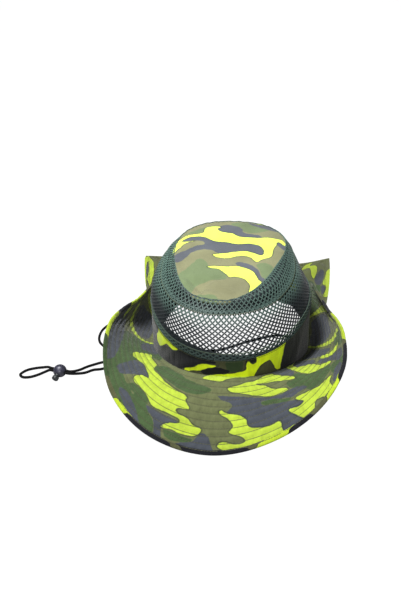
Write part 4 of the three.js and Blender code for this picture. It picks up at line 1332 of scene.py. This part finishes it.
def net_material(name, tones):
    material, r, shader = new_material(name)
    place = r.add("ShaderNodeTexCoord").outputs["Object"]
    tone = r.noise(place, 60.0, 4.0)
    fibre = r.noise(r.stretch(place, (1.0, 1.0, 2.2)), 1900.0, 2.0)
    base = r.mix(tone, *tones)
    # Painted shade and painted sheen: the yarn is painted near black low on the wall, where the noted level is
    # small, and lighter where the strands are seen at a slant.
    slant = r.add("ShaderNodeLayerWeight", {"Blend": 0.5}).outputs["Facing"]
    sheen = r.maths("MULTIPLY", r.ramp(r.value("level"), 0.46, 0.84), r.ramp(slant, 0.2, 0.85, 0.35, 1.0))
    base = r.mix(sheen, (0.012, 0.016, 0.02, 1.0), base)
    colour = r.mix(r.maths("MULTIPLY", fibre, 0.5), base, linear(30, 42, 42))
    loops = r.add("ShaderNodeBump", {"Height": fibre, "Strength": 0.6, "Distance": 0.0003})
    r.fill(shader, {"Base Color": colour, "Normal": loops.outputs[0], "Roughness": 0.5, "Sheen Weight": 0.08,
                    "Specular IOR Level": 0.35})
    return material


net_yarn = net_material("crown_net", (linear(102, 132, 121), linear(134, 164, 150)))
# The allowance yarn is a near-black copy of the net yarn: painted shade.
shaded_fold_yarn = net_material("net_allowance", (linear(16, 22, 25), linear(30, 40, 42)))
NET_COLUMNS, NET_CELLS = 100, 10


def net_place(net, columns, rows, turn=0.0):
    """The angle of each corner of a net sheet and its share of the sheet's height."""
    co = corners(net)
    return np.mod(co[:, 0] / columns * 360.0 + turn, 360.0), co[:, 1] / rows


def hang(net, points, level):
    """Lay a net sheet, note the level that sets its painted shade and painted sheen, and give the strands their
    body.
    """
    lay(net, points)
    note(net, level=level)
    thicken(net, 0.0007, 50, merge=0.00002)


net = diamond_net("net_crown", NET_COLUMNS, NET_CELLS, 0.132, 0.09)
angle, height = net_place(net, NET_COLUMNS, NET_CELLS)
hang(net, crown_point(angle, 0.86 * height, 0.0), 0.86 * height)
finish_piece(net, "hat", "crown_net", net_yarn, "crown_mesh")

# %% [markdown]
# At both seams the net is folded double, with its dense allowance turned in behind. That is
# why a darker strip runs along the tip and along the band, with black holes: the allowance's
# yarn is a near-black copy of the net's, painted shade. Each is a strip of net of its own. The
# lower one has its holes over those of the net, so they stay clear.

# %% Model the folded strips of the net
def over_the_rim(angle, t, lift):
    """From low on the wall (t = 0) over the rim and in to the tip's sewn edge (t = 1)."""
    turn = 0.62
    wall = crown_point(angle, 0.80 + 0.2 * np.minimum(t / turn, 1.0), lift)
    inward = np.clip((t - turn) / (1 - turn), 0, 1)
    share = 1.0 + (np.minimum(tip_reach(angle), 0.99) - 0.01 - 1.0) * inward
    top = tip_point(angle, share, lift * 0.25)
    blend = np.clip((t - turn + 0.08) / 0.16, 0, 1)[:, None]
    return wall * (1 - blend) + top * blend


upper_strip = diamond_net("net_fold_upper", 96, 3, 0.1, 0.09)
angle, height = net_place(upper_strip, 96, 3, 1.3)
hang(upper_strip, over_the_rim(angle, height, 0.75), 0.75 + 0.15 * height)
finish_piece(upper_strip, "hat", "crown_net", net_yarn)

lower_strip = diamond_net("net_fold_lower", NET_COLUMNS, 2, 0.11, 0.1)
angle, height = net_place(lower_strip, NET_COLUMNS, 2)
hang(lower_strip, crown_point(angle, 0.172 * height, 0.75), np.full(len(height), 0.68))
finish_piece(lower_strip, "hat", "crown_net", net_yarn)


def turned_in(name, shape):
    """The net's seam allowance, turned in behind the strips; it is dense, and its near-black yarn is painted
    shade.
    """
    rows = 8
    fold = ring_sheet(name, 240, rows)
    angle, row = ring_place(fold)
    lay(fold, shape(angle, row / rows))
    note(fold, level=np.ones(len(angle)))
    thicken(fold, 0.0005, 50)
    finish_piece(fold, "hat", "crown_net", shaded_fold_yarn)


turned_in("net_allowance_upper", lambda a, t: over_the_rim(a, 0.06 + 0.94 * t, -0.9))
turned_in("net_allowance_lower",
          lambda a, t: crown_point(a, 0.01 + (0.03 + 0.23 * bump(angle_between(a, 230) / 80)) * t, -0.9))


def crown_stitches():
    rows = []
    for shape, place, lift in ((crown_point, 0.17, 1.15), (crown_point, 0.80, 1.15), (band_point, 0.965, 0.9)):
        surface = shape(SEWN, place, lift)
        rows.append((surface, surface - shape(SEWN, place, lift - 1)))
    return rows


crown_sewing = sew("crown_stitches", crown_stitches(), sink=0.0)
finish_piece(crown_sewing, "hat", "camo_cloth", thread)

# %% [markdown]
# The neck flap is a single sheet that is sewn in along the back of the seam and lies on the
# table behind the hat, with a few soft folds and a hem that curls in near its corners. The
# grid is laid by the same curve as its place in the model, and small ripples are added.

# %% Model the flap
FLAP_LEFT, FLAP_RIGHT, HEM = (-152.5, 230.0), (117.5, 254.5), 9
FLAP_DIPS = [(0.6, 0.26, 24), (-0.6, 0.2, 3)]
FLAP_RIDGES = [(98, 218, 86, 190, 8, 17), (-143, 214, -128, 190, 6, 16), (-128, 190, -122, 150, 6, 16),
               (-55, 150, -30, 205, 9, 20), (45, 150, 30, 200, 8, 18)]


def flap_middle(side, share):
    angle = 90 - side * 75
    reach = CROWN_CLOTH / 2 + 2.5 * GAP + FLAP_CLOTH / 2
    base, outward = oval_point(HEAD, angle), oval_outward(HEAD, angle)
    top = around("seam", angle) - BRIM_CLOTH / 2 - 3 * GAP
    mix = (side + 1) / 2
    dip = sum(depth * bump((side - at) / (2 * spread)) for at, spread, depth in FLAP_DIPS)
    hem = np.stack([FLAP_LEFT[0] + (FLAP_RIGHT[0] - FLAP_LEFT[0]) * mix,
                    FLAP_LEFT[1] + (FLAP_RIGHT[1] - FLAP_LEFT[1]) * mix - dip], -1)
    start = base + outward * reach
    drop = start + outward * 24
    drop[:, 1] += 30 * side**2
    lie = np.stack([hem[:, 0] * (0.96 + 0.04 * side), hem[:, 1] - 0.42 * (hem[:, 1] - drop[:, 1])], -1)
    t = share[:, None]
    p = (1 - t) ** 3 * start + 3 * t * (1 - t) ** 2 * drop + 3 * t**2 * (1 - t) * lie + t**3 * hem
    floor = FLAP_CLOTH / 2
    z = floor + (top - floor) * np.maximum(0, 1 - share / 0.55) ** 3
    for *line, height, spread in FLAP_RIDGES:
        z = z + height * bump(off_line(p, line) / spread)
    return np.column_stack([p, z])


def flap_ripple(flat, share):
    """Small ripples of the flap, which its stitches follow."""
    along = np.sin(flat[:, 0] / 11 + 1.7 * np.sin(flat[:, 1] / 37))
    wave = along * np.sin(flat[:, 1] / 21 + np.sin(flat[:, 0] / 29))
    return 0.5 * (1 + wave) * bump((share - 0.55) / 0.5)


def model_flap():
    flap = flat_sheet("flap_cloth", 120, 100)
    co = corners(flap)
    side, share = co[:, 0], (co[:, 1] + 1) / 2
    points = flap_middle(side, share)
    flat = flap_cloth(side, share)
    points[:, 2] += flap_ripple(flat, share)
    lay(flap, points)
    print_on(flap, flat, FLAP_PRINT)
    note(flap, way=np.column_stack([flat, 0 * side]))
    hem = flap.vertex_groups.new(name="hem")
    beyond = np.abs(side) * FLAP_SIZE[0] / 2 - (FLAP_SIZE[0] / 2 - HEM)
    edge = np.maximum(beyond, (share * FLAP_SIZE[1]) - (FLAP_SIZE[1] - HEM))
    for k, weight in enumerate(np.where(edge > 0, 1.0, 0.5)):
        hem.add([k], float(weight), "REPLACE")
    thicken(flap, 0.0012, vertex_group="hem", thickness_vertex_group=0.0)
    finish_piece(flap, "hat", "camo_cloth", flap_cotton, "neck_flap")
    return flap


flap = model_flap()


def flap_stitches():
    rows = []
    for inset in (6.5, 8.5):
        across, down = 1 - inset / (FLAP_SIZE[0] / 2), 1 - inset / FLAP_SIZE[1]
        t = np.linspace(0.2, down, 200)
        s = np.linspace(-across, across, 300)
        route = [np.stack([np.full_like(t, -across), t], -1), np.stack([s, np.full_like(s, down)], -1),
                 np.stack([np.full_like(t, across), t[::-1]], -1)]
        for part in route:
            points = flap_middle(part[:, 0], part[:, 1])
            beside = flap_middle(part[:, 0] + 0.01, part[:, 1]) - flap_middle(part[:, 0] - 0.01, part[:, 1])
            onward = flap_middle(part[:, 0], part[:, 1] + 0.01) - flap_middle(part[:, 0], part[:, 1] - 0.01)
            normal = np.cross(beside, onward)
            normal /= np.linalg.norm(normal, axis=1, keepdims=True)
            flat = flap_cloth(part[:, 0], part[:, 1])
            points[:, 2] += flap_ripple(flat, part[:, 1])
            rows.append((points + normal * 0.62, normal))
    return rows


flap_sewing = sew("flap_stitches", flap_stitches(), sink=0.0)
finish_piece(flap_sewing, "hat", "camo_cloth", thread)

# %% [markdown]
# The cord is a round braid. A curve with a bevel would give its shape, but its braid has to
# turn with it, so it is a tube of our own: a ring for each step along the route, carried along
# without twist, with its length and its turn noted on the corners for the material. Its cover
# stands a tenth of a millimetre proud of the plain round of the CAD.

# %% Model the cord
def cord_material():
    material, r, shader = new_material("braided_cord")
    parts = r.add("ShaderNodeSeparateXYZ", {0: r.vector("braid")}).outputs
    ways = []
    for sign in (1.0, -1.0):
        turn = r.maths("MULTIPLY", parts[1], sign * 4.0)
        wave = r.maths("SINE", r.maths("ADD", r.maths("MULTIPLY", parts[0], 3.6), turn))
        ways.append(wave)
    braid = r.maths("MAXIMUM", ways[0], ways[1])
    place = r.add("ShaderNodeTexCoord").outputs["Object"]
    fuzz = r.noise(place, 2400.0, 2.0)
    # The braid is painted a little darker in its grooves than on its crests: painted shade.
    tone = r.maths("ADD", r.ramp(braid, -0.6, 1.0, 0.0, 0.8), r.maths("MULTIPLY", fuzz, 0.2))
    colour = r.mix(tone, linear(3, 3, 4), linear(10, 10, 12))
    height = r.maths("ADD", braid, r.maths("MULTIPLY", fuzz, 0.4))
    bumps = r.add("ShaderNodeBump", {"Height": height, "Strength": 0.4, "Distance": 0.0002})
    r.fill(shader, {"Base Color": colour, "Normal": bumps.outputs[0], "Roughness": 0.75, "Sheen Weight": 0.03,
                    "Specular IOR Level": 0.2})
    return material


def model_cord(path, radius, sides=12):
    way = np.gradient(path, axis=0)
    way /= np.linalg.norm(way, axis=1, keepdims=True)
    up = np.array([0.0, 0.0, 1.0])
    rings, turns = [], np.arange(sides) * 2 * np.pi / sides
    for p, w in zip(path, way):
        up = up - w * (up @ w)
        up /= np.linalg.norm(up)
        beside = np.cross(w, up)
        rings.append(p + radius * (np.cos(turns)[:, None] * beside + np.sin(turns)[:, None] * up))
    tube = ring_sheet("chin_cord_braid", sides, len(path) - 1)
    angle, row = ring_place(tube)
    column = (angle / 360 * sides).round().astype(int) % sides
    lay(tube, np.array(rings)[row, column])
    step = np.linalg.norm(path[1] - path[0])
    note(tube, braid=np.column_stack([row * step, turns[column], 0 * angle]))
    make_active(tube)
    bpy.ops.object.mode_set(mode="EDIT")
    bpy.ops.mesh.select_mode(type="EDGE")
    bpy.ops.mesh.select_all(action="SELECT")
    bpy.ops.mesh.region_to_loop()
    bpy.ops.mesh.fill()
    bpy.ops.object.mode_set(mode="OBJECT")
    tidy_normals(tube)
    smooth(tube, 60)
    return tube


cord = model_cord(cord_path, CORD_RADIUS + 0.1)
finish_piece(cord, "hat", "cord", cord_material(), "chin_cord")

# %% [markdown]
# The lock is a moulded ball with a spring button. Both strands pass through its window. The
# ball starts as a sphere whose poles lie on the button's axis, the collar and the button are
# turned cylinders, and Boolean modifiers cut the bore and the window.

# %% Model the lock
def plastic_material(name, tone, rough):
    material, r, shader = new_material(name)
    place = r.add("ShaderNodeTexCoord").outputs["Object"]
    grain = r.noise(place, 1500.0, 3.0)
    wear = r.noise(place, 300.0, 4.0)
    lighter = tuple(min(c * 1.7, 1.0) for c in tone[:3]) + (1.0,)
    colour = r.mix(r.ramp(wear, 0.45, 0.75), tone, lighter)
    polish = r.ramp(wear, 0.3, 0.7, rough - 0.06, rough + 0.1)
    bumps = r.add("ShaderNodeBump", {"Height": grain, "Strength": 0.25, "Distance": 0.0001})
    r.fill(shader, {"Base Color": colour, "Roughness": polish, "Normal": bumps.outputs[0]})
    return material


BALL_RADIUS, BORE, SHAFT, HEAD_RADIUS = 6.7, (2.9, -5.4, 9.0), (2.6, -3.6, 9.0), 3.3
WINDOW, GATE, GATE_MIDDLE = (20.0, 3.1, 5.8), (20.0, 3.1, 7.35), (0, 0, 0.725)
ball_plastic = plastic_material("lock_plastic", linear(52, 52, 64), 0.36)
button_plastic = plastic_material("button_plastic", linear(40, 44, 46), 0.42)


def cylinder(name, radius, start, end, sides):
    """A cylinder along Z, in millimetres of the lock's own axes, with its place in its mesh."""
    deselect()
    middle = (0, 0, (start + end) / 2)
    bpy.ops.mesh.primitive_cylinder_add(vertices=sides, radius=radius, depth=end - start, location=middle)
    piece = bpy.context.object
    piece.name = name
    bpy.ops.object.transform_apply(location=True, rotation=True, scale=True)
    return piece


def block(name, x, y, z, middle=(0, 0, 0)):
    deselect()
    bpy.ops.mesh.primitive_cube_add(size=1.0, location=middle)
    piece = bpy.context.object
    piece.name = name
    piece.scale = (x, y, z)
    bpy.ops.object.transform_apply(location=True, rotation=True, scale=True)
    return piece


def carve(piece, tool, operation="DIFFERENCE"):
    apply_modifier(piece, "BOOLEAN", object=tool, operation=operation, solver="EXACT")
    bpy.data.objects.remove(tool)


def soften(piece, width, segments, degrees):
    """Round every edge that is sharper than degrees."""
    apply_modifier(piece, "BEVEL", width=width, segments=segments, limit_method="ANGLE",
                   angle_limit=math.radians(degrees))


def place_in_lock(piece):
    """The lock was modelled with X along the strands and Z along the button's axis."""
    co = corners(piece)
    points = LOCK_MIDDLE + co[:, 0:1] * ACROSS + co[:, 2:3] * PLUNGE - co[:, 1:2] * LOCK_UP
    lay(piece, points)
    tidy_normals(piece)


def model_ball():
    deselect()
    bpy.ops.mesh.primitive_uv_sphere_add(segments=64, ring_count=40, radius=BALL_RADIUS)
    ball = bpy.context.object
    ball.name = ball.data.name = "lock_ball"
    for z in (-2.4, 2.9):
        ring = cylinder("seam_ring", BALL_RADIUS + 0.5, z - 0.18, z + 0.18, 64)
        carve(ring, cylinder("seam_core", BALL_RADIUS - 0.65, z - 1, z + 1, 64))
        carve(ball, ring)
    carve(ball, cylinder("bore", *BORE, 48))
    carve(ball, block("window", *WINDOW))
    soften(ball, 0.22, 2, 40)
    place_in_lock(ball)
    smooth(ball, 35)
    return ball


def model_button():
    button = cylinder("lock_button_head", *SHAFT, 48)
    head = cylinder("head", HEAD_RADIUS, 8.2, 11.5, 48)
    soften(head, 0.6, 3, 60)
    carve(button, head, "UNION")
    for k in range(12):
        turn = math.radians(30 * k)
        groove = cylinder("groove", 0.28, 8.6, 11.0, 8)
        reach = HEAD_RADIUS + 0.05
        co = corners(groove) + [reach * math.cos(turn), reach * math.sin(turn), 0]
        groove.data.vertices.foreach_set("co", co.ravel())
        carve(button, groove)
    carve(button, cylinder("dimple", 1.5, 11.2, 12.5, 32))
    carve(button, block("gate", *GATE, GATE_MIDDLE))
    soften(button, 0.12, 1, 50)
    place_in_lock(button)
    smooth(button, 35)
    return button


ball = model_ball()
finish_piece(ball, "hat", "lock_plastic", ball_plastic, "cord_lock")
button = model_button()
finish_piece(button, "lock_button", "lock_plastic", button_plastic, "cord_lock_button")

cord_start = Vector(to_scene(CORD_ROUTE[0]))
[tuple(p) for p in to_scene(cord_path)]

# %% [markdown]
# The floor is a plain pale table. The photo's floor is pure white and shines through the net,
# so to the camera the floor is mostly a soft white glow, with just enough plain paint to hold
# the hat's contact shadow. For every other ray it is an ordinary pale floor.

# %% Floor
def add_floor():
    deselect()
    bpy.ops.mesh.primitive_plane_add(size=60.0, location=(0, 0, -0.0002))
    floor = bpy.context.object
    floor.name = "pale_floor"
    material, r, shader = new_material("pale_floor")
    r.fill(shader, {"Base Color": (0.42, 0.42, 0.42, 1), "Roughness": 0.9, "Specular IOR Level": 0.1})
    glow = r.add("ShaderNodeEmission", {"Color": (1, 1, 1, 1), "Strength": 1.08})
    seen = r.add("ShaderNodeLightPath").outputs["Is Camera Ray"]
    share = r.maths("MULTIPLY", seen, 0.93)
    both = r.add("ShaderNodeMixShader", {0: share, 1: shader.outputs[0], 2: glow.outputs[0]})
    output = next(n for n in material.node_tree.nodes if n.type == "OUTPUT_MATERIAL")
    material.node_tree.links.new(both.outputs[0], output.inputs["Surface"])
    floor.data.materials.append(material)


add_floor()

# %% [markdown]
# The light in the photo comes from a soft lamp high above the hat, a little to the left: the tip
# is the brightest cloth, and the insides of the curled brim are nearly black. A weak lamp in
# front keeps the front of the brim readable.

# %% Lights
LAMP_AIM = Vector((0.02, -0.04, 0.05))


def add_lamp(name, place, size, power):
    deselect()
    bpy.ops.object.light_add(type="AREA", location=place)
    lamp = bpy.context.object
    lamp.name = name
    lamp.data.shape = "DISK"
    lamp.data.size = size
    lamp.data.energy = power
    aim = LAMP_AIM - Vector(place)
    lamp.rotation_euler = aim.to_track_quat("-Z", "Y").to_euler()


add_lamp("key_lamp", (-0.28, -0.13, 1.16), 0.32, 25.6)
add_lamp("front_lamp", (0.12, -1.25, 0.50), 0.5, 9.0)
world = bpy.data.worlds.new("soft_room")
bpy.context.scene.world = world
world.use_nodes = True
room = Recipe(world.node_tree)
backdrop = room.add("ShaderNodeLightPath").outputs["Is Camera Ray"]
glow = {0: (0.95, 0.98, 1.0, 1), 1: room.ramp(backdrop, 0.0, 1.0, 0.09, 1.08)}
room.fill(world.node_tree.nodes["Background"], glow)
bpy.context.scene.view_settings.view_transform = "Standard"
bpy.context.scene.view_settings.gamma = 0.86
